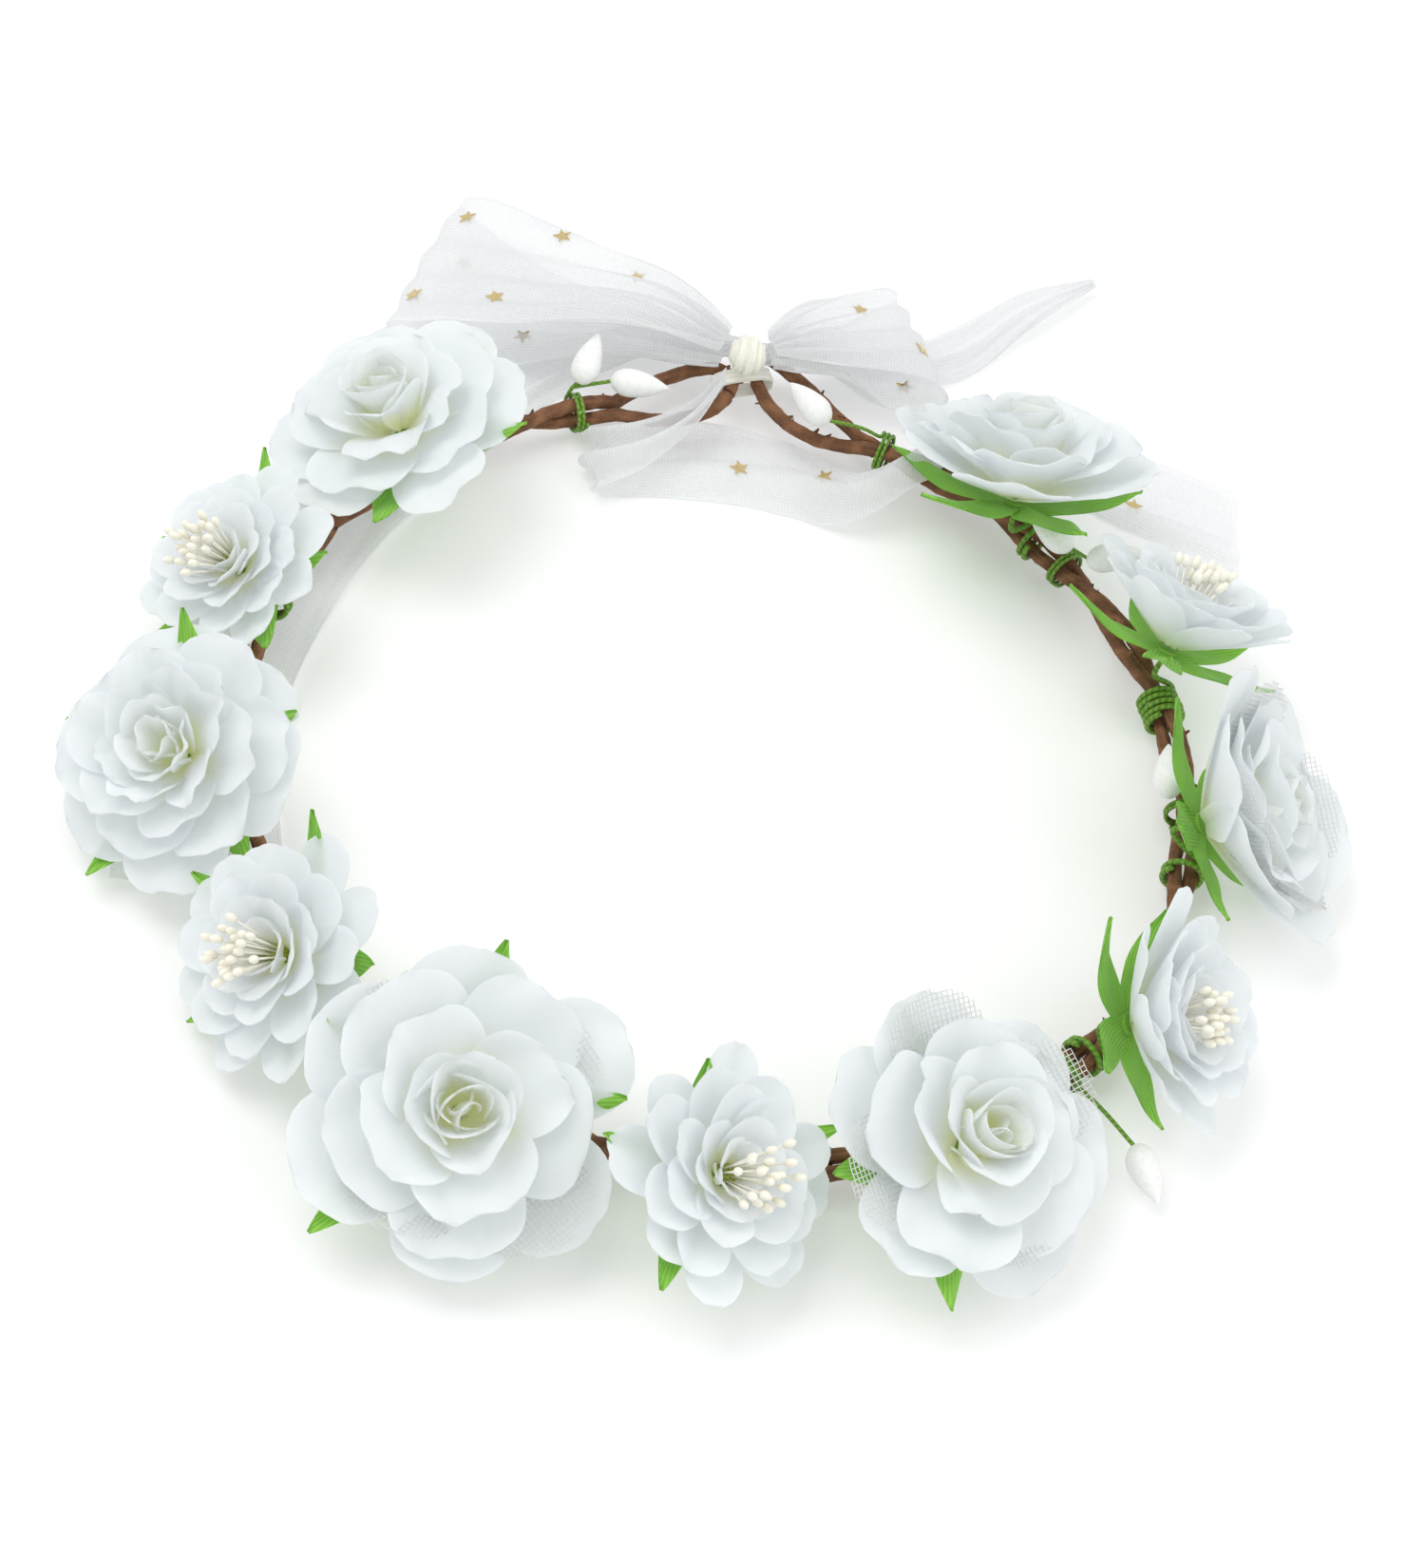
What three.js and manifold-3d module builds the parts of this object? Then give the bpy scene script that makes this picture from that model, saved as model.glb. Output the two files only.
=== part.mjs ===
// Bridal flower crown: a springy ring of two twisted, paper-wrapped wires that ends in two
// teardrop eyes, eleven fabric flowers on green wire stems, foam buds, and an organza bow.
// Millimetres. The origin is the centre of the ring on the surface it lies on, +Z is up and
// +Y points at the tie. Angles round the ring are in degrees from +X, anticlockwise.
import * as THREE from "three";
import { mergeVertices } from "three/addons/utils/BufferGeometryUtils.js";
import Module from "manifold-3d";

const wasm = await Module();
wasm.setup();

// Driving sizes.
const RING_RADIUS = 92; // centreline of the twisted vine
const PAPER_RADIUS = 1.5; // one paper-wrapped wire
const BORE_RADIUS = 0.85; // inside of the paper wrap
const CORE_RADIUS = 0.45; // steel wire inside the wrap
const STEM_RADIUS = 0.6; // green binding wire of a flower
const BUD_WIRE_RADIUS = 0.4;
const TWISTS = 10; // full turns of the two wires round each other
const RIBBON_THICKNESS = 0.4;
const EYE_LENGTH = 26; // from the end of the twist to the tip of an eye
const EYE_HALF_WIDTH = 5.6;
const EYE_RISE = 1.5; // the eyes lift towards the knot
const KNOT_RADIUS = 5;

// Clearances.
const FIT = 0.3; // between pieces that touch on the real crown
const TWIST_SLACK = 0.1; // share of a wire's radius that its helix keeps clear of the other wire
const COIL_SAG = 0.4; // a coil's chords run this much inside its circle
const RIBBON_LIFT = 1; // room for a tail that lies under the vine
const RIBBON_CLEARANCE = 2.6; // from the vine's top to a tail that crosses it
const SWING = 0.6; // between a stem's tip and the flower that tilts on it

const TWIST_RADIUS = PAPER_RADIUS * (1 + TWIST_SLACK);
const VINE_RADIUS = TWIST_RADIUS + PAPER_RADIUS;
const COIL_RADIUS = VINE_RADIUS + FIT + COIL_SAG + STEM_RADIUS;
const VINE_HEIGHT = RIBBON_LIFT + STEM_RADIUS + COIL_RADIUS;

// The twist runs the long way round, from the left eye to the right one.
const TWIST_START = 107;
const TWIST_END = 435;
const LEFT_EYE = { at: TWIST_START, heading: -1, out: 4.5 };
const RIGHT_EYE = { at: TWIST_END, heading: 1, out: 11 };
const EYE_STEPS = 9;
const TWIST_STEPS = TWISTS * 7;

// Flowers in ring order from the left of the tie. at: place on the ring; out and rise: how far
// outside and above the vine's centreline the flower's base sits; facing and lift: direction
// that it looks in; spin: turn about that direction; spread: radius of its petals.
const FLOWERS = [
  { kind: "rose", at: 138, out: -2, rise: 8, facing: 185, lift: 68, spin: 0, spread: 23 },
  { kind: "blossom", at: 168, out: 2, rise: 8, facing: 202, lift: 56, spin: 20, spread: 18.5 },
  { kind: "rose", at: 195, out: 7, rise: 8, facing: 232, lift: 56, spin: 38, spread: 21.5 },
  { kind: "blossom", at: 223, out: 4, rise: 7, facing: 212, lift: 44, spin: 10, spread: 20 },
  { kind: "rose", at: 246, out: 10, rise: 8, facing: 280, lift: 60, spin: 30, spread: 25 },
  { kind: "blossom", at: 271, out: 8, rise: 8, facing: 322, lift: 58, spin: 55, spread: 19.5 },
  { kind: "rose", at: 297, out: 6, rise: 8, facing: 317, lift: 64, spin: 5, spread: 23.5 },
  { kind: "blossom", at: 323, out: 2, rise: 9, facing: 347, lift: 40, spin: 35, spread: 20 },
  { kind: "rose", at: 354, out: -2, rise: 10, facing: 358, lift: 38, spin: 15, spread: 22.5 },
  { kind: "blossom", at: 381, out: 0, rise: 8, facing: 422, lift: 60, spin: 50, spread: 20 },
  { kind: "rose", at: 410, out: -5, rise: 8, facing: 451, lift: 60, spin: 25, spread: 25 },
];
const COIL_TURNS = 1.75;
const COIL_PITCH = 1.8; // along the vine, for each turn
const PETAL_SIDES = 15;
const PETAL_LOBES = 5;
const SEPAL_REACH = 0.92; // of the petals' spread

// Foam buds. at: place of the binding on the ring; buds: where each bud's base sits, as
// [place on the ring, out, rise], and the direction that it points in.
const SPRIGS = [
  {
    at: 113,
    buds: [{ base: [111.9, 1.8, 6.5], aim: [0.2, 0.9, 0.3] }, { base: [108, 1.6, 7], aim: [1, 0, 0] }],
  },
  { at: 432, buds: [{ base: [438.8, -4.3, 7], aim: [-0.7, 0.7, 0.1] }] },
  {
    at: 403,
    buds: [{ base: [401.4, -1.3, 7.5], aim: [-0.7, 0.7, 0] }, { base: [399.2, -0.3, 7], aim: [0.9, 0.1, 0.3] }],
  },
  { at: 362, buds: [{ base: [360, -5, 6.5], aim: [0, 1, 0.1] }] },
  { at: 318, buds: [{ base: [317.2, 18.4, -1], aim: [0.3, -0.9, 0] }] },
];
const BUD_RADIUS = 3.2;
const BUD_LENGTH = 12.5;
const BUD_BITE = 1; // a bud's wire ends this far inside it

// The tie passes through both eyes this far from their tips, and the knot sits on it.
const TIE_INSET = 4.2;
const TIE_WIDTH = 3.6;
const TIE_THICKNESS = 1;

// The bow's loops: direction from the knot, reach from its centre, width of the ribbon there.
// profile: [share of the reach, height from the knot] from the top of the mouth to its foot;
// widths: share of the width at those points; foot: height of the mouth's foot in knot radii.
const LEFT_LOOP = {
  direction: 163,
  reach: 72,
  width: 41,
  profile: [[0.31, 5], [0.61, 2], [0.92, -3], [1, -7.5], [0.92, -12], [0.64, -13], [0.36, -5]],
  widths: [0.49, 0.78, 0.98, 1, 0.98, 0.78, 0.44],
  foot: -0.44,
};
const RIGHT_LOOP = {
  direction: 24,
  reach: 41,
  width: 32,
  profile: [[0.39, 4], [0.68, 2], [0.93, -3], [1, -7], [0.9, -9.5], [0.71, -9.5], [0.44, -2.5]],
  widths: [0.5, 0.78, 0.97, 1, 0.97, 0.78, 0.47],
  foot: -0.2,
};
const LOOP_NECK = 6; // width of the gathered ribbon at the knot

const UP = new THREE.Vector3(0, 0, 1);
const radians = THREE.MathUtils.degToRad;

const finishes = {
  paper: new THREE.MeshStandardMaterial({ color: 0x4a2a1c, roughness: 0.85 }),
  steel: new THREE.MeshStandardMaterial({ color: 0x8a8d90, roughness: 0.4, metalness: 1 }),
  petal: new THREE.MeshStandardMaterial({ color: 0xf2f6f7, roughness: 0.8 }),
  heart: new THREE.MeshStandardMaterial({ color: 0xf3f4ea, roughness: 0.8 }),
  leaf: new THREE.MeshStandardMaterial({ color: 0x6fae35, roughness: 0.75 }),
  stamen: new THREE.MeshStandardMaterial({ color: 0xf4efdc, roughness: 0.45 }),
  stem: new THREE.MeshStandardMaterial({ color: 0x5d9426, roughness: 0.6 }),
  bud: new THREE.MeshStandardMaterial({ color: 0xf7f7f4, roughness: 0.5 }),
  organza: new THREE.MeshStandardMaterial({ color: 0xeef1f4, roughness: 0.5 }),
};

const crown = new THREE.Group();

function addPart(name, geometry, material) {
  const mesh = new THREE.Mesh(geometry, material);
  mesh.name = name;
  crown.add(mesh);
  return mesh;
}

// A regular polygon, as a section for wires.
function disc(radius, sides) {
  const corners = [];
  for (let i = 0; i < sides; i++) {
    const a = (2 * Math.PI * i) / sides;
    corners.push(new THREE.Vector2(radius * Math.cos(a), radius * Math.sin(a)));
  }
  return corners;
}

// A curve given by a function of 0..1, stepped evenly in that parameter.
class PathCurve extends THREE.Curve {
  constructor(pointAt) {
    super();
    this.pointAt = pointAt;
  }
  getPoint(t) {
    return this.pointAt(t);
  }
  getUtoTmapping(u) {
    return u;
  }
}

function wireAlong(curve, radius, sides, steps, bore = 0) {
  const section = new THREE.Shape(disc(radius, sides));
  if (bore > 0) section.holes.push(new THREE.Path(disc(bore, sides - 1).reverse()));
  return new THREE.ExtrudeGeometry(section, { extrudePath: curve, steps });
}

// ---- Vine ----

const BELLY = 1.3; // brings the teardrop's widest place to its half width

// A point above the ring's centreline or beside it, at a height from the surface.
function ringPoint(at, out, z) {
  const a = radians(at);
  return new THREE.Vector3((RING_RADIUS + out) * Math.cos(a), (RING_RADIUS + out) * Math.sin(a), z);
}

// A point beside the vine's centreline: distance from it, and turn from outward to upward.
function besideVine(at, distance, turn) {
  return ringPoint(at, distance * Math.cos(turn), VINE_HEIGHT + distance * Math.sin(turn));
}

// A point of an eye: along runs from 0 where the twist ends to 1 at the tip, and across is the
// distance outward from the eye's middle line.
function insideEye(eye, along, across) {
  const a = radians(eye.at);
  const outward = new THREE.Vector3(Math.cos(a), Math.sin(a), 0);
  const onward = new THREE.Vector3(-Math.sin(a), Math.cos(a), 0).multiplyScalar(eye.heading);
  return besideVine(eye.at, 0, 0)
    .addScaledVector(onward, EYE_LENGTH * along)
    .addScaledVector(outward, eye.out * along * along + across)
    .addScaledVector(UP, EYE_RISE * along);
}

// A point of the teardrop wire. sweep runs from 0 where the twist ends to PI at the tip.
function eyePoint(eye, sweep, side) {
  const along = (1 - Math.cos(sweep)) / 2;
  const belly = BELLY * EYE_HALF_WIDTH * Math.sin(sweep) * Math.sin(sweep / 2);
  return insideEye(eye, along, side * (TWIST_RADIUS * (1 - along) + belly));
}

// One whole wire: left eye, twist, right eye. The outer wire also bends round both tips and
// butts against the inner one there.
function strandPath(side) {
  const bend = 0.5;
  const gap = (2 * FIT) / (BELLY * EYE_HALF_WIDTH);
  const reach = side > 0 ? Math.PI + bend : Math.PI - bend - gap;
  const steps = 2 * EYE_STEPS + TWIST_STEPS;
  const phase = side > 0 ? 0 : Math.PI;
  return new PathCurve((t) => {
    const step = t * steps;
    if (step < EYE_STEPS) return eyePoint(LEFT_EYE, reach * (1 - step / EYE_STEPS), side);
    if (step > EYE_STEPS + TWIST_STEPS) {
      return eyePoint(RIGHT_EYE, (reach * (step - EYE_STEPS - TWIST_STEPS)) / EYE_STEPS, side);
    }
    const part = (step - EYE_STEPS) / TWIST_STEPS;
    const at = TWIST_START + part * (TWIST_END - TWIST_START);
    return besideVine(at, TWIST_RADIUS, phase + 2 * Math.PI * TWISTS * part);
  });
}

function addVine() {
  const steps = 2 * EYE_STEPS + TWIST_STEPS;
  for (const [label, side] of [["outer", 1], ["inner", -1]]) {
    const path = strandPath(side);
    addPart(`vine_wrap_${label}`, wireAlong(path, PAPER_RADIUS, 6, steps, BORE_RADIUS), finishes.paper);
    addPart(`wire_core_${label}`, wireAlong(path, CORE_RADIUS, 4, steps), finishes.steel);
  }
}

// ---- Flowers ----

// Where a flower's base sits and which way it looks.
function flowerSeat(flower) {
  const f = radians(flower.facing);
  const lift = radians(flower.lift);
  const base = ringPoint(flower.at, flower.out, VINE_HEIGHT + flower.rise);
  const axis = new THREE.Vector3(
    Math.cos(lift) * Math.cos(f),
    Math.cos(lift) * Math.sin(f),
    Math.sin(lift),
  );
  return { base, axis };
}

// A turned solid whose outline swells and shrinks round its axis. profile runs from axis to
// axis as [radius, height]; lobe is the depth of the waves at the full spread.
function lobed(profile, sides, lobe, spread) {
  const points = profile.map(([r, z]) => new THREE.Vector2(r, z));
  const geometry = new THREE.LatheGeometry(points, sides).rotateX(Math.PI / 2);
  const position = geometry.getAttribute("position");
  for (let i = 0; i < position.count; i++) {
    const x = position.getX(i);
    const y = position.getY(i);
    const reach = Math.hypot(x, y) / spread;
    const wave = 1 + lobe * reach * reach * Math.cos(PETAL_LOBES * Math.atan2(y, x));
    position.setXY(i, x * wave, y * wave);
  }
  return geometry;
}

// Underside of a flower's cup at a distance from its axis.
function cup(distance, spread) {
  const part = distance / spread;
  return 3.4 + 10 * part * part;
}

const HUB_RADIUS = 2.4;
const SEPAL_THICKNESS = 0.5;
const SEPAL_DROOP = 1.6; // a sepal's tip hangs this far under the petals
const TOP_ROW = 5; // the calyx's rows are its upper face from here

// Cuts a lathe's quads along their other diagonal from a row onward, so that the upper face of
// a thin piece is folded where its underside is.
function crossDiagonals(geometry, rowCount, fromRow) {
  const index = geometry.getIndex();
  for (let quad = 0; quad < index.count / 6; quad++) {
    if (quad % (rowCount - 1) < fromRow) continue;
    const [a, b, d, c] = [0, 1, 2, 3].map((i) => index.getX(6 * quad + i));
    [a, b, c, a, c, d].forEach((corner, i) => index.setX(6 * quad + i, corner));
  }
}

// Hub and five sepals in one piece of green fabric. part is the way from hub to sepal tip.
function calyxGeometry(spread) {
  const rows = [
    { r: 0, z: SWING },
    { r: HUB_RADIUS * 0.7, z: SWING },
    { r: HUB_RADIUS, z: 2.2 },
    { part: 0.5, under: SEPAL_THICKNESS },
    { part: 1, under: SEPAL_THICKNESS },
    { part: 1, under: 0 },
    { part: 0.5, under: 0 },
    { r: 0, z: 2.9 },
  ];
  const points = rows.map((row, i) => new THREE.Vector2(row.r === undefined ? HUB_RADIUS : row.r, i));
  const sides = 2 * PETAL_LOBES;
  const geometry = new THREE.LatheGeometry(points, sides).rotateX(Math.PI / 2);
  crossDiagonals(geometry, rows.length, TOP_ROW);
  const position = geometry.getAttribute("position");
  const tip = SEPAL_REACH * spread;
  const valley = HUB_RADIUS + 2.5;
  for (let i = 0; i < position.count; i++) {
    const row = rows[i % rows.length];
    if (row.part === undefined) {
      position.setZ(i, row.z);
      continue;
    }
    const side = Math.floor(i / rows.length) % sides;
    const edge = side % 2 ? valley : tip;
    const reach = HUB_RADIUS + row.part * (edge - HUB_RADIUS);
    const a = Math.atan2(position.getY(i), position.getX(i));
    const droop = SEPAL_DROOP * row.part + FIT;
    const z = cup(reach, spread) - droop - row.under;
    position.setXYZ(i, reach * Math.cos(a), reach * Math.sin(a), z);
  }
  return geometry;
}

function rosePetals(spread) {
  const s = spread;
  const profile = [
    [0, cup(0, s)],
    [0.5 * s, cup(0.5 * s, s)],
    [s, cup(s, s)],
    [0.97 * s, cup(s, s) + 3],
    [0.6 * s, 11.5],
    [0, 8.6],
  ];
  return lobed(profile, PETAL_SIDES, 0.05, s);
}

function roseHeart(spread) {
  const s = spread;
  const profile = [
    [0, 8.6 + FIT],
    [0.4 * s, 11.2],
    [0.58 * s, 16],
    [0.5 * s, 21],
    [0.3 * s, 22],
    [0, 18],
  ];
  return lobed(profile, PETAL_SIDES, 0.06, s);
}

function blossomPetals(spread) {
  const s = spread;
  const profile = [
    [0, cup(0, s)],
    [0.5 * s, cup(0.5 * s, s)],
    [s, cup(s, s)],
    [0.95 * s, cup(s, s) + 3],
    [0.65 * s, 19],
    [0.35 * s, 18],
    [0.15 * s, 11],
    [0, 11],
  ];
  return lobed(profile, PETAL_SIDES, 0.07, s);
}

function blossomStamens(spread) {
  const s = spread;
  const profile = [
    [0, 11 + FIT],
    [0.1 * s, 11 + FIT],
    [0.2 * s, 18],
    [0.38 * s, 24],
    [0.2 * s, 26],
    [0, 26],
  ];
  return lobed(profile, 8, 0, s);
}

// Green wire: wound round the vine, then up to the flower's base along the flower's axis.
function stemCurve(flower) {
  const { base, axis } = flowerSeat(flower);
  const drift = THREE.MathUtils.radToDeg(COIL_PITCH / RING_RADIUS);
  const leave = Math.atan2(flower.rise, flower.out) - 0.7;
  const perTurn = 8;
  const count = Math.round(COIL_TURNS * perTurn);
  const points = [];
  for (let i = count; i >= 0; i--) {
    const turns = i / perTurn;
    points.push(besideVine(flower.at - 1.2 - drift * turns, COIL_RADIUS, leave - 2 * Math.PI * turns));
  }
  points.push(base.clone().addScaledVector(axis, -3));
  points.push(base.clone());
  return new THREE.CatmullRomCurve3(points, false, "centripetal");
}

function addFlowers() {
  const counts = { rose: 0, blossom: 0 };
  for (const flower of FLOWERS) {
    counts[flower.kind] += 1;
    const name = `${flower.kind}_${counts[flower.kind]}`;
    const { base, axis } = flowerSeat(flower);
    const pieces = [[`${name}_calyx`, calyxGeometry(flower.spread), finishes.leaf]];
    if (flower.kind === "rose") {
      pieces.push([`${name}_petals`, rosePetals(flower.spread), finishes.petal]);
      pieces.push([`${name}_heart`, roseHeart(flower.spread), finishes.heart]);
    } else {
      pieces.push([`${name}_petals`, blossomPetals(flower.spread), finishes.petal]);
      pieces.push([`${name}_stamens`, blossomStamens(flower.spread), finishes.stamen]);
    }
    for (const [pieceName, geometry, material] of pieces) {
      geometry.rotateZ(radians(flower.spin));
      const mesh = addPart(pieceName, geometry, material);
      mesh.quaternion.setFromUnitVectors(UP, axis);
      mesh.position.copy(base);
    }
    addPart(`${name}_stem`, wireAlong(stemCurve(flower), STEM_RADIUS, 5, 24), finishes.stem);
  }
}

// ---- Foam buds ----

function toSolid(geometry) {
  const plain = geometry.clone();
  for (const key of ["normal", "uv"]) plain.deleteAttribute(key);
  const merged = mergeVertices(plain, 1e-4);
  const mesh = new wasm.Mesh({
    numProp: 3,
    vertProperties: new Float32Array(merged.getAttribute("position").array),
    triVerts: new Uint32Array(merged.getIndex().array),
  });
  return new wasm.Manifold(mesh);
}

function toGeometry(solid) {
  const mesh = solid.getMesh();
  const geometry = new THREE.BufferGeometry();
  geometry.setAttribute("position", new THREE.BufferAttribute(mesh.vertProperties, 3));
  geometry.setIndex(new THREE.BufferAttribute(mesh.triVerts, 1));
  geometry.computeVertexNormals();
  return geometry;
}

function budSeat(bud) {
  const [at, out, rise] = bud.base;
  return { base: ringPoint(at, out, VINE_HEIGHT + rise), aim: new THREE.Vector3(...bud.aim).normalize() };
}

function budGeometry(bud) {
  const r = BUD_RADIUS;
  const l = BUD_LENGTH;
  const profile = [[0, 0], [0.55 * r, 0.04 * l], [r, 0.3 * l], [0.85 * r, 0.6 * l], [0, l]];
  const geometry = lobed(profile, 7, 0, r);
  const { base, aim } = budSeat(bud);
  geometry.applyQuaternion(new THREE.Quaternion().setFromUnitVectors(UP, aim));
  return geometry.translate(base.x, base.y, base.z);
}

// A thin wire wound once round the vine that ends inside its first bud; the second bud's wire
// branches from there.
function sprigGeometry(sprig) {
  const tips = sprig.buds.map((bud) => {
    const { base, aim } = budSeat(bud);
    return base.addScaledVector(aim, BUD_BITE);
  });
  const first = tips[0];
  const radius = Math.hypot(first.x, first.y);
  const leave = Math.atan2(first.z - VINE_HEIGHT, radius - RING_RADIUS) - 0.5;
  const drift = THREE.MathUtils.radToDeg(1.4 / RING_RADIUS);
  const points = [];
  for (let i = 9; i >= 0; i--) {
    points.push(besideVine(sprig.at - (drift * i) / 8, COIL_RADIUS, leave - (Math.PI * i) / 4));
  }
  const branch = points[points.length - 1].clone().lerp(first, 0.35).addScaledVector(UP, 0.8);
  points.push(branch, first);
  const curve = new THREE.CatmullRomCurve3(points, false, "centripetal");
  let solid = toSolid(wireAlong(curve, BUD_WIRE_RADIUS, 5, 18));
  sprig.buds.forEach((bud, i) => {
    solid = solid.add(toSolid(budGeometry(bud)));
    if (i > 0) {
      const side = new THREE.CatmullRomCurve3([branch, tips[i]]);
      solid = solid.add(toSolid(wireAlong(side, BUD_WIRE_RADIUS, 5, 2)));
    }
  });
  return toGeometry(solid);
}

function addBuds() {
  SPRIGS.forEach((sprig, i) => addPart(`bud_sprig_${i + 1}`, sprigGeometry(sprig), finishes.bud));
}

// ---- Ribbon ----

// A flat strip along a route. widths match the route's points; side gives the direction of the
// width from the tangent.
function stripAlong(route, widths, sideFor, steps) {
  const curve = new THREE.CatmullRomCurve3(route);
  const geometry = new THREE.BoxGeometry(1, 1, 1, 1, steps, 1);
  const position = geometry.getAttribute("position");
  for (let i = 0; i < position.count; i++) {
    const t = position.getY(i) + 0.5;
    const tangent = curve.getTangent(t);
    const side = sideFor(tangent, t);
    const normal = new THREE.Vector3().crossVectors(side, tangent).normalize();
    const slot = Math.min(Math.floor(t * (widths.length - 1)), widths.length - 2);
    const width = THREE.MathUtils.lerp(widths[slot], widths[slot + 1], t * (widths.length - 1) - slot);
    const point = curve
      .getPoint(t)
      .addScaledVector(side, position.getX(i) * width)
      .addScaledVector(normal, position.getZ(i) * RIBBON_THICKNESS);
    position.setXYZ(i, point.x, point.y, point.z);
  }
  return geometry;
}

const flatSide = (tangent) => new THREE.Vector3().crossVectors(tangent, UP).normalize();

// The tie's middle line: from inside one eye, over both tips, to inside the other.
function tieSeat() {
  const inset = 1 - TIE_INSET / EYE_LENGTH;
  const left = insideEye(LEFT_EYE, inset, 0);
  const right = insideEye(RIGHT_EYE, inset, 0);
  const span = right.clone().sub(left);
  return { middle: left.clone().lerp(right, 0.5), reach: span.length() / 2, turn: Math.atan2(span.y, span.x) };
}

// A flat oval with cut corners, half as long and half as high as given.
function bandOutline(halfLength, halfHeight) {
  const cut = 0.5 * halfHeight;
  const corners = [];
  for (const [sx, sy] of [[1, 1], [-1, 1], [-1, -1], [1, -1]]) {
    const first = new THREE.Vector2(sx * halfLength, sy * (halfHeight - cut));
    const second = new THREE.Vector2(sx * (halfLength - cut), sy * halfHeight);
    corners.push(...(sx * sy > 0 ? [first, second] : [second, first]));
  }
  return corners;
}

// Closed band that passes through both eyes, round their tips.
function addTie() {
  const { middle, reach, turn } = tieSeat();
  const high = PAPER_RADIUS + FIT;
  const half = TIE_THICKNESS / 2;
  const outline = new THREE.Shape(bandOutline(reach + half, high + TIE_THICKNESS));
  outline.holes.push(new THREE.Path(bandOutline(reach - half, high).reverse()));
  const geometry = new THREE.ExtrudeGeometry(outline, { depth: TIE_WIDTH, bevelEnabled: false });
  geometry.translate(0, 0, -TIE_WIDTH / 2).rotateX(Math.PI / 2).rotateZ(turn);
  addPart("ribbon_tie", geometry, finishes.organza).position.copy(middle);
}

const KNOT = tieSeat().middle;
KNOT.z += PAPER_RADIUS + TIE_THICKNESS + 2 * FIT + KNOT_RADIUS;

function addKnot() {
  addPart("ribbon_knot", new THREE.SphereGeometry(KNOT_RADIUS, 14, 9), finishes.organza)
    .position.copy(KNOT);
}

// A place given from the knot's centre, in knot radii.
function fromKnot(x, y, z) {
  return KNOT.clone().add(new THREE.Vector3(x, y, z).multiplyScalar(KNOT_RADIUS));
}

// A bow loop in the upright plane that leaves the knot in one direction: out on top, a round
// fold, and back underneath. profile lists [share of the reach, height] from the knot's centre.
function loopGeometry(loop) {
  const a = radians(loop.direction);
  const side = new THREE.Vector3(Math.sin(a), -Math.cos(a), 0);
  const mouth = KNOT_RADIUS + 0.2;
  const profile = [
    [mouth, KNOT_RADIUS * 0.44],
    ...loop.profile.map(([share, z]) => [share * loop.reach, z]),
    [mouth, KNOT_RADIUS * loop.foot],
  ];
  const route = profile.map(([along, z]) =>
    KNOT.clone().add(new THREE.Vector3(along * Math.cos(a), along * Math.sin(a), z)));
  const widths = loop.widths.map((share) => share * loop.width);
  return stripAlong(route, [LOOP_NECK, ...widths, LOOP_NECK], () => side, 28);
}

function addBow() {
  addPart("bow_loop_left", loopGeometry(LEFT_LOOP), finishes.organza);
  addPart("bow_loop_right", loopGeometry(RIGHT_LOOP), finishes.organza);
}

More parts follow.
